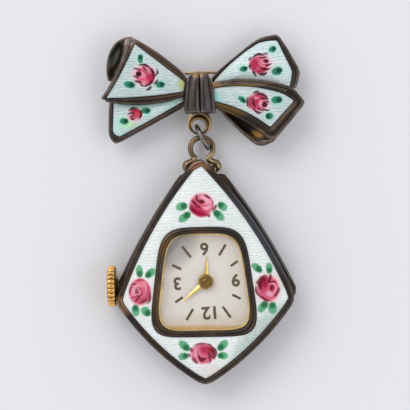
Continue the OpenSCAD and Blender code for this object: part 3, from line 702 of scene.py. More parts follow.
right_tail_rose = painted(
    bow_leaf(11.15, 36.25, 1.1, 0.9, 20) + bow_leaf(11.8, 32.8, 1.6, 1.15, 15)
    + bow_leaf(6.55, 33.25, 1.2, 0.85, 10), [
        ("pale", 3.3, blot(9.3, 33.9, 3.8, 3.2), 0.6, 0.35),
        ("pink", 2.7, blot(9.0, 33.9, 3.0, 2.7), 0.9, 0.28),
        ("rose", 1.3, blot(8.2, 33.9, 1.9, 1.2, 80), 0.8, 0.5),
        ("pale", 0.9, blot(9.7, 34.2, 1.5, 0.9, 20), 0.5, 0.8),
        ("rose", 0.7, [(8.6, 32.9), (9.2, 32.75), (9.9, 33.0)], 0.8, 0.5),
        ("rose", 0.22, [(8.5, 34.7), (8.7, 34.1), (9.3, 33.6)], 0.8, 0.5),
        ("rose", 0.2, [(9.0, 34.4), (9.3, 34.0), (9.9, 33.9)], 0.7, 0.5),
        ("dark", 0.32, [(8.0, 34.9), (8.9, 35.5), (9.8, 35.25)], 0.95, 0.35),
        ("dark", 0.2, [(9.6, 35.5), (10.0, 35.55), (10.4, 35.45)], 0.85, 0.4),
        ("dark", 0.2, [(9.0, 34.9), (9.6, 35.0), (10.3, 34.95)], 0.85, 0.4),
        ("dark", 0.45, blot(10.1, 34.4, 0.85, 0.45), 0.95, 0.3),
        ("dark", 0.25, [(9.9, 33.85), (10.4, 33.75), (10.9, 34.05)], 0.9, 0.35),
        ("dark", 0.28, [(9.0, 33.6), (9.7, 33.15), (10.8, 33.3)], 0.95, 0.35),
        ("dark", 0.32, [(8.9, 32.5), (9.5, 32.3), (10.2, 32.7)], 0.95, 0.35),
        ("dark", 0.3, [(7.5, 34.6), (7.6, 34.85), (7.8, 35.0)], 0.85, 0.35),
        ("dark", 0.24, [(7.5, 33.4), (7.5, 33.7), (7.7, 33.95)], 0.9, 0.35),
        ("dark", 0.32, [(8.1, 32.85), (8.2, 32.5), (8.5, 32.2)], 0.9, 0.35)])
right_loop_rose = painted(
    bow_leaf(6.25, 28.4, 1.3, 0.8, -38) + bow_leaf(11.7, 28.2, 1.6, 1.1, 5)
    + bow_leaf(10.5, 25.7, 1.1, 1.0, 0, dark_end=-1), [
        ("pale", 3.3, blot(8.9, 27.9, 3.7, 3.2), 0.6, 0.35),
        ("pink", 2.7, blot(8.6, 27.9, 3.0, 2.8), 0.9, 0.28),
        ("rose", 1.1, blot(8.5, 27.8, 1.6, 1.1, 70), 0.8, 0.5),
        ("brown", 0.7, blot(7.6, 27.9, 1.6, 0.6, 90), 0.6, 0.5),
        ("pale", 0.8, blot(9.1, 27.6, 1.2, 0.8, 60), 0.5, 0.8),
        ("pale", 0.5, blot(8.6, 28.6, 0.9, 0.5, 20), 0.35, 0.8),
        ("rose", 0.5, [(8.4, 28.9), (9.3, 28.8), (9.9, 28.4)], 0.8, 0.5),
        ("rose", 0.22, [(8.8, 28.2), (8.75, 27.6), (9.2, 27.0)], 0.8, 0.5),
        ("dark", 0.32, [(8.1, 29.3), (8.6, 29.55), (9.0, 29.4)], 0.9, 0.35),
        ("dark", 0.32, [(8.4, 29.1), (9.4, 29.15), (10.3, 28.3)], 0.95, 0.35),
        ("dark", 0.22, [(9.0, 28.4), (9.7, 28.45), (10.4, 28.2)], 0.85, 0.4),
        ("dark", 0.65, blot(9.8, 27.5, 0.8, 0.7, 90), 0.95, 0.3),
        ("dark", 0.2, [(10.0, 28.0), (10.3, 27.95), (10.5, 27.7)], 0.85, 0.4),
        ("dark", 0.24, [(9.4, 26.9), (9.9, 26.65), (10.5, 26.65)], 0.9, 0.35),
        ("dark", 0.28, [(8.0, 27.0), (8.5, 26.4), (9.3, 26.25)], 0.95, 0.35),
        ("dark", 0.22, [(8.7, 27.2), (9.1, 26.7), (9.6, 26.5)], 0.85, 0.4),
        ("dark", 0.22, [(8.2, 28.8), (8.0, 28.0), (8.5, 27.0)], 0.85, 0.4),
        ("dark", 0.24, [(7.2, 28.7), (7.05, 28.0), (7.2, 27.2)], 0.85, 0.4)])

# %% [markdown]
# The enamel is clear glass over a silver ground that was cut with fine waves on a rose engine.
# Light comes back from the flanks of the waves, so they show as pale and dark lines through a
# smooth glossy surface. Here the waves are a sine across the piece, shaken by noise. They tint the
# colour and bend the normal of the layer below, while a clear coat on top stays smooth.

# %% Enamel
WAVE_PITCH = 0.46


def enamel(name, light, shade, strokes, edge_tone, tint_spots=(), turn=0.0, contrast=0.65):
    """Painted enamel over waves that are cut across the piece, turned by some degrees."""
    finish = Finish(name)
    drift = finish.noise(2.2, detail=1.0) - 0.5
    flutter = finish.noise(0.5, detail=2.0, stretch=(0.7, 1.4, 1.0)) - 0.5
    slope = finish.x * math.tan(math.radians(turn))
    phase = (finish.y - slope + drift * 0.6 + flutter * 0.5) * (2 * math.pi / WAVE_PITCH)
    wave = phase.sine() * 0.5 + 0.5
    cloud = finish.noise(3.0, detail=2.0)
    fine = finish.noise(0.3, detail=3.0, stretch=(0.5, 1.6, 1.0))
    colour = finish.mix(cloud.ramp(0.35, 0.7) * 0.6, light, shade)
    broken = fine.ramp(0.36, 0.6)
    colour = finish.mix((1 - wave) ** 2.0 * broken * contrast, colour, edge_tone)
    colour = finish.mix(wave ** 3.0 * (1 - broken) * 0.5, colour, paint(246, 250, 248))
    for spot, tone, strength in tint_spots:
        colour = finish.mix(patch(finish, spot) * strength * (0.5 + fine), colour, tone)
    shake = finish.add("ShaderNodeTexNoise", output="Color", sockets={
        "Vector": finish.place, "Scale": 3.0, "Detail": 2.0})
    shift = finish.add("ShaderNodeVectorMath", {"operation": "MULTIPLY_ADD"},
                       {0: shake, 1: (0.26, 0.26, 0.0), 2: (-0.13, -0.13, 0.0)})
    place = finish.add("ShaderNodeVectorMath", {"operation": "ADD"}, {0: finish.place, 1: shift})
    for pigment, width, points, strength, soft in strokes:
        colour = stroke(finish, colour, place, pigment, width, points, strength, soft)
    relief = finish.bump(wave * 0.6 + fine * 0.4, 0.014, 0.45)
    return finish.surface(Base_Color=colour, Roughness=fine * 0.12 + 0.38, Normal=relief,
                          Specular_IOR_Level=0.15, Coat_Weight=cloud * 0.1 + 0.27,
                          Coat_Roughness=0.14, Coat_IOR=1.45)


WATCH_LIGHT = paint(232, 237, 237)
WATCH_SHADE = paint(214, 225, 221)
WATCH_LINE = paint(182, 192, 186)
BOW_LIGHT = paint(217, 228, 231)
# Painted shade: copies of the bow's two tints a tenth darker, for the two loops
SHADED_BOW_LIGHT = paint(197, 207, 210)
BOW_SHADE = paint(190, 217, 213)
SHADED_BOW_SHADE = paint(173, 197, 194)
BOW_LINE = paint(146, 176, 172)
MINT = paint(142, 214, 196)

watch_enamel = enamel(
    "watch_enamel", WATCH_LIGHT, WATCH_SHADE, watch_roses, WATCH_LINE, contrast=0.6,
    # The face is darker grey green towards the lower right, and pinker at its foot
    tint_spots=[((8.2, -8.0, 5.5, 1.6, 46), paint(140, 166, 158), 0.5),
            ((0.6, -14.0, 2.2, 1.2, 0), paint(214, 196, 190), 0.4)])
bow_enamels = {
    # Painted shade: this loop takes the darker copies of the bow's tints
    "enamel_left_loop": enamel(
        "left_loop_enamel", SHADED_BOW_LIGHT, SHADED_BOW_SHADE, left_loop_rose, BOW_LINE, turn=-4,
        tint_spots=[((-2.9, 31.0, 0.9, 1.0, 0), paint(176, 190, 96), 0.8)]),
    "enamel_left_tail": enamel(
        "left_tail_enamel", paint(200, 216, 216), MINT, left_tail_rose, BOW_LINE, turn=6,
        tint_spots=[((-11.9, 25.3, 1.1, 0.9, 0), paint(196, 228, 130), 0.5)]),
    "enamel_right_tail": enamel(
        "right_tail_enamel", BOW_LIGHT, BOW_SHADE, right_tail_rose, BOW_LINE, turn=5),
    # Painted shade: this loop takes the darker copies of the bow's tints
    "enamel_right_loop": enamel(
        "right_loop_enamel", SHADED_BOW_LIGHT, SHADED_BOW_SHADE, right_loop_rose, BOW_LINE, turn=-5,
        tint_spots=[((2.2, 28.6, 0.9, 1.0, 0), paint(150, 216, 206), 0.7)])}
print("enamels:", 1 + len(bow_enamels), "strokes on the watch:", len(watch_roses))

# %% [markdown]
# The watch front is one stamping with an outer rim and a window rim, and the enamel was fired into
# the trough between them. The solids already have the right outlines, so copies of them are welded,
# their triangles paired up, and a Bevel rounds the rims as the stamp did. A Subdivision Surface
# would round them too, but it would also pull the four points of the kite inwards.

# %% Watch front
TIPS_ABOVE, TIPS_BELOW, TIPS_RIGHT = 19.0 * MM, -15.9 * MM, 13.6 * MM
front = merged_copy("front_frame")
tips = [vert for vert in front.verts if vert.co.y > TIPS_ABOVE or vert.co.y < TIPS_BELOW
        or vert.co.x > TIPS_RIGHT]
bmesh.ops.smooth_vert(front, verts=tips, factor=0.45, use_axis_x=True, use_axis_y=True)
ease(finish_piece("front_frame", front, frame_metal, "front_frame",
                  recalc=False), 0.17, 4, degrees=24)
ease(finish_piece("enamel_face", merged_copy("enamel_face"), watch_enamel, "enamel_face",
                  recalc=False), 0.08, 3, degrees=30)
subdivide(finish_piece("dial_ring", merged_copy("dial_ring"), gilding, "dial_ring",
                       recalc=False), 1)
sharpen(finish_piece("case", merged_copy("case"), case_metal, "case",
                     recalc=False), 42)

# %% [markdown]
# The crystal is a low dome of old glass. A full glass shader would bend light from the dial through
# two surfaces and render slowly, so it is a mix: clear, with a mirror that grows where the glass
# is seen at a slant. The dome repeats its solid's outline in ever smaller rings, so that the mirror
# is smooth.

# %% Crystal
glass = Finish("crystal_glass")
clear = glass.add("ShaderNodeBsdfTransparent", sockets={"Color": (0.985, 0.985, 0.98)})
mirror = glass.add("ShaderNodeBsdfGlossy", sockets={"Color": (1.0, 1.0, 1.0), "Roughness": 0.03})
slant = glass.add("ShaderNodeLayerWeight", sockets={"Blend": 0.5}, output="Facing")
glass_mix = glass.add("ShaderNodeMixShader", sockets={0: slant ** 4.0 * 0.6 + 0.02})
for slot, shader in ((1, clear), (2, mirror)):
    glass.tree.links.new(shader.socket, glass_mix.socket.node.inputs[slot])
glass.tree.links.new(glass_mix.socket, glass.output.inputs[0])

DOME_FOOT = 6.1
DOME_SHARES = (1.0, 0.97, 0.93, 0.88, 0.81, 0.72, 0.61, 0.49, 0.37, 0.25, 0.13)
solid = merged_copy("crystal")
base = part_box("crystal")[0].z
top = max((vert.co.copy() for vert in solid.verts), key=lambda place: place.z)
rim = [vert.co.copy() for vert in solid.verts if abs(vert.co.z - DOME_FOOT * MM) < 1e-5]
rim.sort(key=lambda place: math.atan2(place.y, place.x - top.x))
solid.free()
dome = [(DOME_FOOT + (top.z / MM - DOME_FOOT) * (1 - share ** 2), share) for share in DOME_SHARES]
crystal = stacked([Vector((place.x, place.y, base)) for place in rim], Vector((top.x, 0, 0)), UP,
                  [(base / MM, 1.0)] + dome)
sharpen(finish_piece("crystal", crystal, glass.material, "crystal"), 50)

# %% [markdown]
# The dial is a satin silvered plate. A painted blue grey shadow lies in its upper left corner,
# under the window's rim, and the lacquer has yellowed along the lower and right edges.

# %% Dial plate
plate = Finish("silvered_dial")
speckle = plate.noise(0.13, detail=3.0, rough=0.7)
blotch = plate.noise(1.8, detail=3.0)
plate_colour = plate.mix(blotch.ramp(0.3, 0.7) * 0.6, paint(248, 243, 239), paint(240, 231, 224))
plate_colour = plate.mix(speckle.ramp(0.45, 0.7) * 0.35, plate_colour, paint(196, 184, 178))
# The first two spots are painted shadow at the upper left; the other three are yellowed lacquer
for spot, tone, strength in [((-5.6, 6.2, 2.6, 1.2, 50), paint(112, 118, 132), 0.75),
                             ((-5.0, 5.6, 4.0, 3.0, 40), paint(168, 162, 164), 0.7),
                             ((0.0, -7.5, 9.0, 0.7, -1), paint(224, 178, 100), 0.95),
                             ((0.5, -6.4, 7.0, 1.4, 0), paint(226, 200, 172), 0.35),
                             ((6.9, -0.5, 0.8, 6.5, 6), paint(206, 180, 142), 0.7)]:
    plate_colour = plate.mix(patch(plate, spot) * strength * (0.6 + blotch * 0.6).clamped(),
                             plate_colour, tone)
dial_finish = plate.surface(Base_Color=plate_colour, Metallic=0.25, Roughness=speckle * 0.15 + 0.42,
                            Normal=plate.bump(speckle, 0.006, 0.5))
for node, material in (("dial", dial_finish), ("movement", steel), ("winding_stem", steel)):
    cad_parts[node].data.materials.clear()
    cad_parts[node].data.materials.append(material)
print("solids with a new finish only: dial, movement, winding_stem")

# %% [markdown]
# Numbers and bars are printed in dark olive ink. The dial sits upside down when the jewel is laid
# bow upwards, because the wearer lifts the watch to read it. Blender's own font gives the numbers;
# they become meshes first and are then turned and set in place.

# %% Dial print
ink = Finish("dial_ink")
ink_grain = ink.noise(0.12, detail=2.0)
ink_tone = ink.mix(ink_grain.ramp(0.3, 0.7), paint(66, 54, 38), paint(124, 106, 80))
ink_finish = ink.surface(Base_Color=ink_tone, Roughness=ink_grain * 0.2 + 0.4)
dial_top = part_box("dial")[1].z / MM
print_turn = math.radians(183.1)
NUMERAL_H = 2.05
INK_LIFT = 0.006


def numeral(text, x, y):
    """A number as a thin mesh, with its middle at a place on the dial."""
    curve = bpy.data.curves.new("numeral", "FONT")
    curve.body = text
    curve.extrude = 0.004
    curve.offset = 0.032
    bm = shape_of(curve)
    xs = [v.co.x for v in bm.verts]
    ys = [v.co.y for v in bm.verts]
    size = NUMERAL_H * MM / (max(ys) - min(ys))
    centre = Vector(((max(xs) + min(xs)) / 2, (max(ys) + min(ys)) / 2, 0))
    place = (Matrix.Translation(mm(x, y, dial_top + INK_LIFT))
             @ Matrix.Rotation(print_turn, 4, "Z")
             @ Matrix.Scale(size, 4) @ Matrix.Translation(-centre))
    bmesh.ops.transform(bm, matrix=place, verts=bm.verts)
    return bm


def bar(first, last, width=0.4):
    """A printed bar between two places on the dial."""
    bm = bmesh.new()
    first, last = Vector(first), Vector(last)
    way = last - first
    bmesh.ops.create_cube(bm, size=1.0)
    middle = (first + last) / 2
    place = (Matrix.Translation(mm(middle.x, middle.y, dial_top + INK_LIFT))
             @ Matrix.Rotation(math.atan2(way.y, way.x), 4, "Z")
             @ Matrix.Diagonal((way.length * MM, width * MM, 0.01 * MM, 1)))
    bmesh.ops.transform(bm, matrix=place, verts=bm.verts)
    upright = [e for e in bm.edges
               if abs((e.verts[0].co - e.verts[1].co).normalized().z) > 0.9]
    bmesh.ops.bevel(bm, geom=upright, offset=width * 0.3 * MM, segments=3, profile=0.5,
                    affect="EDGES", material=-1)
    return bm


def on_dial(x, y):
    """From the picture's upright frame to the jewel's own, which is turned a little."""
    return x + picture_tilt * y - 0.01, y - picture_tilt * x + 0.05


dial_print = bmesh.new()
for text, x, y in [("12", 0.5, -4.97), ("6", -0.25, 5.05), ("3", -4.48, -0.38),
                   ("9", 4.67, 0.19)]:
    join(dial_print, numeral(text, *on_dial(x, y)))
for first, last in [((-3.73, 5.48), (-2.36, 3.75)), ((3.11, 5.80), (2.06, 4.05)),
                    ((-5.30, 2.56), (-3.86, 1.88)), ((4.98, 3.19), (3.86, 2.38)),
                    ((-4.80, -3.30), (-3.61, -2.48)), ((4.11, -2.05), (5.48, -2.73)),
                    ((-1.98, -4.30), (-3.05, -6.09)), ((2.63, -3.92), (3.92, -5.66))]:
    join(dial_print, bar(on_dial(*first), on_dial(*last)))
finish_piece("dial_print", dial_print, ink_finish, None, smooth=False)

# %% [markdown]
# The hands are gilt dauphines: two long facets that meet in a ridge. A four sided cone laid on its
# side and cut in half gives exactly that. The minute hand carries a turned boss with a small pin.

# %% Hands
HUB_R = 1.1
ROOT = HUB_R * 1.15
TAIL_END = HUB_R * 0.75
HOUR_Z = 4.5
MINUTE_Z = 4.8


def blade(length, widest, ridge, turn, z):
    """A hand's two facets: widest at the root, with a short taper back into the hub."""
    bm = bmesh.new()
    for reach, tip, way in ((length - ROOT, 0.0, 1), (ROOT - TAIL_END, widest * 0.35, -1)):
        half = bmesh.new()
        bmesh.ops.create_cone(half, cap_ends=True, segments=4, radius1=widest / 2 * MM,
                              radius2=tip * MM, depth=reach * MM)
        place = (Matrix.Translation(mm(ROOT + way * reach / 2, 0))
                 @ Matrix.Rotation(way * math.pi / 2, 4, "Y"))
        bmesh.ops.transform(half, matrix=place, verts=half.verts)
        join(bm, half)
    inner = [f for f in bm.faces if abs(f.calc_center_median().x - ROOT * MM) < WELD]
    bmesh.ops.delete(bm, geom=inner, context="FACES_ONLY")
    bmesh.ops.remove_doubles(bm, verts=bm.verts, dist=1e-6)
    bmesh.ops.scale(bm, vec=(1, 1, ridge / (widest / 2)), verts=bm.verts)
    bmesh.ops.bisect_plane(bm, geom=bm.verts[:] + bm.edges[:] + bm.faces[:],
                           plane_co=(0, 0, 0), plane_no=(0, 0, 1), clear_inner=True)
    bmesh.ops.contextual_create(bm, geom=[e for e in bm.edges if e.is_boundary])
    place = Matrix.Translation(mm(0, 0, z)) @ Matrix.Rotation(math.radians(turn), 4, "Z")
    bmesh.ops.transform(bm, matrix=place, verts=bm.verts)
    return bm


hour_hand = blade(4.2, 0.78, 0.17, 86.2, HOUR_Z)
collar = [(0.42, 0.0), (1.1, 0.0), (1.1, 0.12), (0.42, 0.12), (0.42, 0.0)]
pipe = [(0.42, -1.4), (0.7, -1.4), (0.7, 0.05), (0.42, 0.05), (0.42, -1.4)]
for profile in (collar, pipe):
    turned(hour_hand, profile, mm(0, 0, HOUR_Z), UP)
sharpen(finish_piece("hour_hand", hour_hand, hand_gold, "hour_hand",
                     body="hour_hand"), 25)

minute_hand = blade(5.25, 0.76, 0.17, 219.5, MINUTE_Z)
boss = [(0, 0.55), (0.13, 0.55), (0.18, 0.5), (0.2, 0.36), (0.42, 0.34), (0.5, 0.28), (0.56, 0.34),
        (0.74, 0.33), (0.8, 0.27), (0.87, 0.32), (1.08, 0.29), (1.18, 0.2), (1.2, 0.0), (0.36, 0.0),
        (0.36, -2.2), (0, -2.2)]
turned(minute_hand, boss, mm(0, 0, MINUTE_Z), UP, steps=72)
sharpen(finish_piece("minute_hand", minute_hand, hand_gold, "minute_hand",
                     body="minute_hand"), 32)

# %% [markdown]
# The winding crown is a small gilt wheel with two dozen ridges that fingers have rounded. A circle
# with its radius stepped in and out is repeated along the axis through a few sections, and the last
# of them draw its outer end in to a shallow dish. A turned boss closes the side towards the case.

# %% Crown
crown_low, crown_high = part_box("crown")
crown_axis = Vector((0, (crown_low.y + crown_high.y) / 2, (crown_low.z + crown_high.z) / 2))
CROWN_R = (crown_high.y - crown_low.y) / 2 / MM
CROWN_RIDGES = 26
GROOVE = 0.2
# Sections of the band: distance from the crown's outer end, and share of the radius
band = [(1.32, 0.90), (1.22, 0.965), (1.06, 0.995), (0.4, 1.0), (0.22, 0.975), (0.1, 0.91),
        (0.04, 0.84), (0.05, 0.72), (0.08, 0.66), (0.18, 0.6), (0.2, 0.45), (0.2, 0.3), (0.2, 0.15)]
BAND_STEPS = CROWN_RIDGES * 8

ridged = []
for k in range(BAND_STEPS):
    angle = 2 * math.pi * k / BAND_STEPS
    bulge = max(0.0, 0.72 - 0.9 * math.cos(angle * CROWN_RIDGES)) ** 0.6
    reach = (CROWN_R - GROOVE + GROOVE * min(1.0, bulge)) * MM
    ridged.append(crown_axis + Vector((crown_low.x + band[0][0] * MM, reach * math.cos(angle),
                                       reach * math.sin(angle))))
crown = stacked(ridged, crown_axis, Vector((1, 0, 0)), band)
turned(crown, [(0, 0.0), (1.05, 0.0), (1.3, -0.05), (2.55, -0.55), (0, -0.55)],
       crown_axis + Vector((crown_high.x - 0.02 * MM, 0, 0)), (1, 0, 0), steps=48)
sharpen(finish_piece("crown", crown, crown_gold, "crown", body="crown"), 50)

# %% [markdown]
# Each half of the bow is a loop and a tail of stamped ribbon: a raised metal rim round a shallow
# tray of enamel. A short chart gives the corners of each tray and of its rim, and how far each edge
# swells. Rings between the two outlines are bridged one after another, which draws the rounded
# section of the rim all the way round, and the same rings drawn in to the middle make the enamel.

# %% Charts of the ribbons
# Each row is a corner, anticlockwise: enamel x, enamel y, rim x, rim y, height of the rim, and the
# swell of the enamel's edge and of the rim's edge towards the next corner
ribbons = {
    "left_loop": [(-10.40, 37.50, -11.95, 39.16, 5.45, -0.22, -0.85),
                  (-15.15, 29.10, -16.12, 28.75, 5.25, 0.25, 1.00),
                  (-2.85, 29.90, -2.85, 29.10, 4.75, 0, 0),
                  (-2.60, 31.30, -2.30, 32.20, 4.75, 0, 0.50)],
    "left_tail": [(-14.05, 28.50, -14.75, 28.80, 3.80, 0, 0),
                  (-14.25, 23.90, -14.95, 23.75, 3.80, 0.15, 0.25),
                  (-13.20, 23.05, -13.75, 21.85, 3.80, 0.07, 0),
                  (-2.95, 28.45, -2.85, 27.55, 3.75, 0, 0),
                  (-3.00, 29.15, -2.80, 29.50, 3.75, -0.40, -0.40)],
    "right_tail": [(1.70, 31.30, 1.45, 32.20, 3.75, 0, 0),
                   (1.90, 30.70, 1.60, 30.50, 3.75, -1.00, -1.00),
                   (13.65, 30.15, 14.55, 29.80, 3.80, 0.08, 0.10),
                   (14.15, 32.80, 15.40, 32.80, 3.80, 0, 0.10),
                   (11.90, 37.65, 12.05, 38.65, 3.80, 0.12, 0.10),
                   (8.90, 37.30, 8.75, 37.95, 3.80, 0.40, 0.10)],
    "right_loop": [(1.65, 30.25, 1.60, 31.05, 4.75, 0, 0),
                   (1.70, 28.30, 1.50, 27.25, 4.75, -0.60, -0.60),
                   (10.60, 23.95, 10.90, 21.50, 5.25, 0, 0),
                   (14.40, 28.00, 16.20, 27.70, 5.30, 0.10, 0),
                   (12.20, 29.35, 14.50, 29.90, 5.20, 0.65, 0.95)]}
curls = {
    "left_curl": [(-11.50, 38.00, -11.00, 38.72, 4.60, 0.30, 0.40),
                  (-13.45, 36.85, -13.95, 37.25, 4.60, 0.50, 0.60),
                  (-14.15, 32.30, -14.75, 31.60, 4.40, 0, 0),
                  (-12.20, 33.50, -11.80, 33.20, 4.30, 0, 0)],
    "right_curl": [(3.20, 26.90, 2.40, 27.20, 4.40, 0.20, 0.25),
                   (8.20, 22.30, 8.10, 21.35, 4.50, 0.20, 0.35),
                   (10.20, 22.50, 10.65, 21.60, 4.60, 0, 0),
                   (6.40, 26.20, 6.60, 26.40, 4.30, 0, 0)]}
# Steps along an edge between its corners, radii of the two corners, and the swell of the enamel
CUTS = 9
CORNER_R = 0.2
RIM_CORNER_R = 0.8
DOME = 0.45
# How much of its own place a corner keeps when it is rounded between its neighbours
CORNER_HOLD = 0.6


def outline(bm, rows, share, lift):
    """Closed ring of edges at a share of the way from the rim's outline, 0, to the enamel's, 1."""
    corners = [Vector((rx + (ex - rx) * share, ry + (ey - ry) * share, height + lift))
               for ex, ey, rx, ry, height, _, _ in rows]
    points = []
    for k, row in enumerate(rows):
        way = corners[(k + 1) % len(rows)] - corners[k]
        outward = Vector((way.y, -way.x, 0)).normalized()
        swell = row[6] + (row[5] - row[6]) * share
        near = min(0.1, (CORNER_R + RIM_CORNER_R * (1 - share)) / way.length)
        start, span = near * 2.2, 1 - near * 4.4
        stops = [0, near, start, *(start + span * i / CUTS for i in range(1, CUTS)),
                 1 - start, 1 - near]
        points += [corners[k] + way * t + outward * (swell * 4 * t * (1 - t)) for t in stops]
    ring = bmesh.ops.create_circle(bm, segments=len(points), radius=1.0)["verts"]
    for k, vert in enumerate(ring):
        vert.co = points[k] * MM
        if k % (CUTS + 4) == 0:
            rounded = points[k - 1] + points[k + 1] + points[k] * CORNER_HOLD
            vert.co = rounded / (2 + CORNER_HOLD) * MM
    return list({e for v in ring for e in v.link_edges})


def drawn_in(bm, ring, size, lift, middle, dome):
    """Copy of a ring, drawn in towards the middle and lifted over the swell of the enamel."""
    copy = bmesh.ops.duplicate(bm, geom=ring)
    edges = [g for g in copy["geom"] if isinstance(g, bmesh.types.BMEdge)]
    for vert in {v for e in edges for v in e.verts}:
        vert.co = middle + (vert.co - middle) * size
        vert.co.z += (lift + dome * (1 - size * size)) * MM
    return edges


def middle_of(ring):
    verts = {v for e in ring for v in e.verts}
    return sum((v.co for v in verts), Vector()) / len(verts)


def bridge_all(bm, rings):
    for first, last in zip(rings, rings[1:]):
        bmesh.ops.bridge_loops(bm, edges=first + last)


# Section of a rim: share of the way in, and height over the chart's
RIM = [(0.0, -0.9), (0.0, -0.32), (0.05, -0.1), (0.18, 0.04), (0.38, 0.1), (0.58, 0.08),
       (0.78, 0.0), (0.92, -0.12), (1.0, -0.24), (1.0, -0.42)]
# Section of a curl's rim, and its hollow: size of each ring, and height under the rim
CURL_RIM = [(0.0, -0.9), (0.0, -0.3), (0.06, -0.06), (0.25, 0.08), (0.5, 0.06), (0.8, -0.06),
            (1.0, -0.2)]
CURL_HOLLOW = [(0.86, -0.14), (0.68, -0.3), (0.45, -0.42), (0.2, -0.46)]
# Rings of the enamel: size, lift over its edge, and dome
ENAMEL_EDGE = -0.38
ENAMEL_RINGS = [(0.996, 0.22, 0.0), (0.985, 0.31, DOME), (0.95, 0.34, DOME), (0.86, 0.37, DOME),
                (0.72, 0.40, DOME), (0.56, 0.42, DOME), (0.38, 0.43, DOME), (0.2, 0.43, DOME)]


def stamped(rows, section, hollow=()):
    """A rim round a tray: rings by the section, then the hollow's rings, closed on both sides."""
    bm = bmesh.new()
    rings = [outline(bm, rows, share, lift) for share, lift in section]
    inner = rings[-1]
    middle = middle_of(inner)
    rings += [drawn_in(bm, inner, size, lift, middle, 0.0) for size, lift in hollow]
    bridge_all(bm, rings)
    for ring in (rings[0], rings[-1]):
        face = bmesh.ops.contextual_create(bm, geom=ring)["faces"]
        bmesh.ops.triangulate(bm, faces=face)
    return bm


def tray_enamel(rows):
    """The enamel of one tray, from its edge to the top of its swell."""
    bm = bmesh.new()
    edge = outline(bm, rows, 1.0, ENAMEL_EDGE)
    middle = middle_of(edge)
    rings = [edge] + [drawn_in(bm, edge, size, lift, middle, dome)
                      for size, lift, dome in ENAMEL_RINGS]
    bridge_all(bm, rings)
    top = bmesh.ops.contextual_create(bm, geom=rings[-1])["faces"]
    bmesh.ops.poke(bm, faces=top)
    under = bmesh.ops.contextual_create(bm, geom=rings[0])["faces"]
    bmesh.ops.triangulate(bm, faces=under)
    return bm


def edge_line(rows, corner, share, lift, count):
    """Points along one edge of a ribbon, at a share of the way from its rim to its enamel."""
    ex, ey, rx, ry, height, enamel_swell, rim_swell = rows[corner]
    nx, ny, mx, my, next_height, _, _ = rows[(corner + 1) % len(rows)]
    first = Vector((rx + (ex - rx) * share, ry + (ey - ry) * share, height + lift))
    last = Vector((mx + (nx - mx) * share, my + (ny - my) * share, next_height + lift))
    way = last - first
    outward = Vector((way.y, -way.x, 0)).normalized()
    swell = rim_swell + (enamel_swell - rim_swell) * share
    return [first + way * t + outward * (swell * 4 * t * (1 - t))
            for t in (i / count for i in range(count + 1))]


# %% Bow
# Rolled edges: chart and corner where each starts, share of the way in, lift, radius and swell
ROLL_STEPS = 12
rolled_edges = [("right_loop", 4, 0.12, 0.08, 0.26, 0.0), ("right_loop", 4, 0.52, 0.10, 0.22, 0.0),
                ("left_loop", 0, 0.45, 0.10, 0.24, 0.05), ("left_curl", 0, 0.3, 0.02, 0.2, 0.0),
                ("left_curl", 1, 0.3, 0.02, 0.2, 0.0), ("right_curl", 0, 0.4, 0.02, 0.24, 0.0),
                ("right_curl", 1, 0.4, 0.02, 0.24, 0.0)]
# Fold where the right curl turns back under its ribbon: its line, and the radius at each point
fold_line = [(8.6, 22.0, 4.15), (9.5, 21.8, 4.4), (10.3, 21.8, 4.6), (10.8, 21.98, 4.85),
             (11.2, 22.4, 5.05), (11.5, 22.8, 4.9)]
fold_radii = [0.12, 0.28, 0.4, 0.42, 0.35, 0.2]

bow = bmesh.new()
for rows in ribbons.values():
    join(bow, stamped(rows, RIM))
for rows in curls.values():
    join(bow, stamped(rows, CURL_RIM, CURL_HOLLOW))
for name, corner, share, lift, radius, swell in rolled_edges:
    radii = [radius + swell * math.sin(i / ROLL_STEPS * math.pi) for i in range(ROLL_STEPS + 1)]
    chart = ribbons.get(name) or curls[name]
    join(bow, swept(edge_line(chart, corner, share, lift, ROLL_STEPS), radii))
join(bow, swept(fold_line, fold_radii))
bridge_under_knot = block((4.2, 2.6, 1.05), (-0.65, 30.0, 3.75), rounding=0.2)
join(bow, bridge_under_knot)
sharpen(finish_piece("bow", bow, bow_metal, "bow"), 60)
for name, rows in ribbons.items():
    node = "enamel_" + name
    sharpen(finish_piece(node, tray_enamel(rows), bow_enamels[node], node), 50)

# %% [markdown]
# The knot is a strip of metal pressed into four flutes and wrapped over the middle of the bow. A
# grid is laid over it and raised by the flutes' round section, wider towards the bottom, and its
# border is drawn down to the bow so that it is a closed solid.

# %% Knot
# Outline of the knot from the top down: y, left x, right x, and the height of its middle
knot_levels = [(32.75, -1.60, 0.70, 5.75), (32.3, -1.98, 1.10, 6.1), (31.6, -2.30, 1.48, 6.32),
               (30.0, -2.56, 1.78, 6.44), (28.4, -2.74, 1.95, 6.4), (27.2, -2.84, 2.07, 6.25),
               (26.6, -2.80, 2.06, 6.0), (26.3, -2.66, 1.98, 5.55)]
# Valleys between the flutes, from -1 at the left edge to 1 at the right, and each flute's height
knot_valleys = [-1.0, -0.8, 0.03, 0.78, 1.0]
flute_heights = [0.5, 1.0, 1.0, 0.5]
KNOT_FOOT = 4.9
# Fall of the arch at the edges, share of the height that lies under the flutes, and their fullness
ARCH_FALL, FLUTE_BED, FLUTE_FULLNESS = 0.72, 0.56, 0.42


def between_levels(y):
    """Left x, right x and height of the knot's middle at a y between two levels."""
    for (y0, *first), (y1, *last) in zip(knot_levels, knot_levels[1:]):
        if y >= y1:
            t = (y0 - y) / (y0 - y1)
            return [a + (b - a) * t for a, b in zip(first, last)]
    return knot_levels[-1][1:]


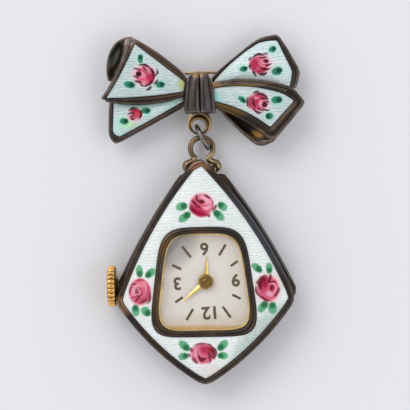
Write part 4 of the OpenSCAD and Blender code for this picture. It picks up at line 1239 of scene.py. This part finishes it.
knot = bmesh.new()
bmesh.ops.create_grid(knot, x_segments=84, y_segments=36, size=1.0)
for vert in knot.verts:
    across, along = vert.co.x, vert.co.y
    top_y, bottom_y = knot_levels[0][0], knot_levels[-1][0]
    y = top_y + (bottom_y - top_y) * (1 - along) / 2
    left, right, crest = between_levels(y)
    for k, height in enumerate(flute_heights):
        low, high = knot_valleys[k], knot_valleys[k + 1]
        if across <= high:
            break
    s = (2 * across - low - high) / (high - low)
    flute = max(0.0, 1 - s * s) ** FLUTE_FULLNESS
    arch = math.sqrt(1 - ARCH_FALL * across * across)
    z = KNOT_FOOT + (crest - KNOT_FOOT) * arch * (FLUTE_BED + (1 - FLUTE_BED) * height * flute)
    vert.co = mm(left + (right - left) * (across + 1) / 2, y, z)
skirt, foot = grow(knot, [e for e in knot.edges if e.is_boundary])
for vert in skirt:
    vert.co.z = KNOT_FOOT * MM
bmesh.ops.triangulate(knot, faces=bmesh.ops.contextual_create(knot, geom=foot)["faces"])
sharpen(finish_piece("knot", knot, knot_metal, "knot"), 70)

# %% [markdown]
# The links: a brass hanger whose eye hangs out under the knot, a jump ring of round wire, and the
# bail that is soldered to the top of the case. Wire is spun, and the soldered bail is remeshed
# into one skin, so that solder fillets its joints as on the real piece.

# %% Links
EYE = mm(-0.6, 25.07, 2.5)
EYE_HOLE_R = 1.05
EYE_WIDTH = 0.9
EYE_HOLE_SHIFT = mm(-0.12, -0.6)
# Section of the eye round its hole: share of the way from the hole to the outside, and height
eye_section = [(0.0, 0.12), (0.0, 0.34), (0.1, 0.44), (0.25, 0.46), (0.38, 0.42), (0.45, 0.38),
               (0.56, 0.56), (0.8, 0.65), (0.94, 0.58), (1.0, 0.42), (1.0, 0.12), (0.94, 0.0),
               (0.06, 0.0)]
hanger = bmesh.new()
eye_rings = []
for share, height in eye_section:
    circle = bmesh.ops.create_circle(hanger, segments=72,
                                     radius=(EYE_HOLE_R + EYE_WIDTH * share) * MM)["verts"]
    bmesh.ops.translate(hanger, verts=circle,
                        vec=EYE + EYE_HOLE_SHIFT * (1 - share) + mm(0, 0, height))
    eye_rings.append(list({e for v in circle for e in v.link_edges}))
bridge_all(hanger, eye_rings + eye_rings[:1])
# The back plate, and the bar across its top: width, low y, high y and x
for width, low, high, x in ((2.8, 26.75, 32.8, -0.6), (4.95, 32.65, 33.1, -0.275)):
    join(hanger, block((width, high - low, 0.63), (x, (low + high) / 2, 2.825), rounding=0.12))
sharpen(finish_piece("hanger", hanger, brass, "hanger"), 60)

pin = merged_copy("brooch_pin")
bmesh.ops.dissolve_limit(pin, angle_limit=math.radians(1), verts=pin.verts, edges=pin.edges)
ease(sharpen(finish_piece("brooch_pin", pin, brass, "brooch_pin"), 30), 0.12)

JUMP_R = 1.95
JUMP_WIRE = 0.35
jump = bmesh.new()
circle = bmesh.ops.create_circle(jump, segments=20, radius=JUMP_WIRE * MM)["verts"]
bmesh.ops.rotate(jump, verts=circle, cent=(0, 0, 0), matrix=Matrix.Rotation(math.pi / 2, 3, "X"))
bmesh.ops.translate(jump, verts=circle, vec=mm(JUMP_R, 0, 0))
bmesh.ops.spin(jump, geom=jump.verts[:] + jump.edges[:], cent=(0, 0, 0), axis=UP,
               angle=2 * math.pi, steps=64, use_merge=True)
stand = (Matrix.Translation(mm(-0.25, 22.76, 2.32)) @ Matrix.Rotation(math.radians(26.2), 4, "Z")
         @ Matrix.Rotation(math.pi / 2, 4, "Y"))
bmesh.ops.transform(jump, matrix=stand, verts=jump.verts)
finish_piece("jump_ring", jump, link_metal, "jump_ring")

BAIL = (-0.4, 20.95, 2.0)
BAIL_R = 1.79
BAIL_WIRE = 0.45
OPENING = 62
ROUND_STEPS = 28
turns = [math.radians(OPENING / 2 - 90 + (360 - OPENING) * i / ROUND_STEPS)
         for i in range(ROUND_STEPS + 1)]
sweep = [(BAIL_R * math.cos(turn), BAIL_R * math.sin(turn), 0.0) for turn in turns]
# One scroll, as it lies on the right: x, y, z and radius
scroll = [(0.85, -1.45, 0.05, 0.42), (1.2, -1.85, 0.05, 0.5), (1.75, -2.15, 0.05, 0.62),
          (2.35, -2.45, 0.0, 0.74), (2.45, -3.0, -0.1, 0.72), (1.9, -3.35, -0.15, 0.5)]
bail = swept(sweep, [BAIL_WIRE] * len(sweep), sides=16)
for side in (-1, 1):
    join(bail, swept([(side * x, y, z) for x, y, z, _ in scroll], [row[3] for row in scroll],
                     sides=16))
join(bail, block((4.3, 1.5, 1.2), (0, 17.65 - BAIL[1], 0)))
bmesh.ops.translate(bail, verts=bail.verts, vec=mm(*BAIL))
bail_piece = finish_piece("bail", bail, bronze, "bail")
skin = bail_piece.modifiers.new("solder", "REMESH")
skin.mode = "VOXEL"
skin.voxel_size = 0.075 * MM
skin.use_smooth_shade = True
relax = bail_piece.modifiers.new("relax", "SMOOTH")
relax.factor = 0.5
relax.iterations = 4

# %% [markdown]
# The jewel lies on a plain pale surface under a broad soft light from the upper left, with a soft
# fill all round. The sky is darker just round the camera, like the black card that a photographer
# holds there: flat metal then mirrors the card and looks dark, and only slopes catch the light.
# The light is large and close, so shadows are soft and fall to the lower right.

# %% Floor and light
floor_mesh = bmesh.new()
bmesh.ops.create_grid(floor_mesh, x_segments=1, y_segments=1, size=1.0)
floor_data = bpy.data.meshes.new("floor")
floor_mesh.to_mesh(floor_data)
floor_mesh.free()
paper = Finish("floor_paper")
grain = paper.noise(0.8, detail=3.0)
paper_tone = paper.mix(grain, paint(229, 229, 233), paint(226, 226, 230))
floor_data.materials.append(paper.surface(Base_Color=paper_tone, Roughness=0.75))
in_scene("floor", floor_data)

world = bpy.data.worlds.new("studio")
bpy.context.scene.world = world
world.use_nodes = True
sky = world.node_tree
direction = sky.nodes.new("ShaderNodeTexCoord")
parts = sky.nodes.new("ShaderNodeSeparateXYZ")
sky.links.new(direction.outputs["Generated"], parts.inputs[0])
upward = Level(sky, parts.outputs["Z"])
card_mix = sky.nodes.new("ShaderNodeMix")
card_mix.data_type = "RGBA"
OPEN_SKY, BLACK_CARD = (0.98, 0.985, 1.0), (0.17, 0.17, 0.18)
for slot, value in ((0, upward.ramp(0.80, 0.97)), (6, OPEN_SKY), (7, BLACK_CARD)):
    feed(sky, card_mix.inputs[slot], value)
sky.links.new(card_mix.outputs[2], sky.nodes["Background"].inputs["Color"])


def soft_light(name, place, size, power, tone):
    """A round lamp at a place, aimed at the jewel."""
    data = bpy.data.lights.new(name, "AREA")
    data.shape = "DISK"
    data.size = size
    data.energy = power
    data.color = tone
    place = Vector(place)
    aim = (view_centre - place).to_track_quat("-Z", "Y").to_matrix().to_4x4()
    in_scene(name, data).matrix_world = Matrix.Translation(place) @ aim


soft_light("window", (-0.45, 0.55, 0.75), 0.75, 2.75, (1.0, 0.985, 0.96))
soft_light("fill", (0.6, -0.2, 0.8), 0.6, 1.0, (0.95, 0.97, 1.0))
bpy.context.scene.view_settings.view_transform = "Standard"
print("lamps:", [lamp.name for lamp in bpy.data.lights])
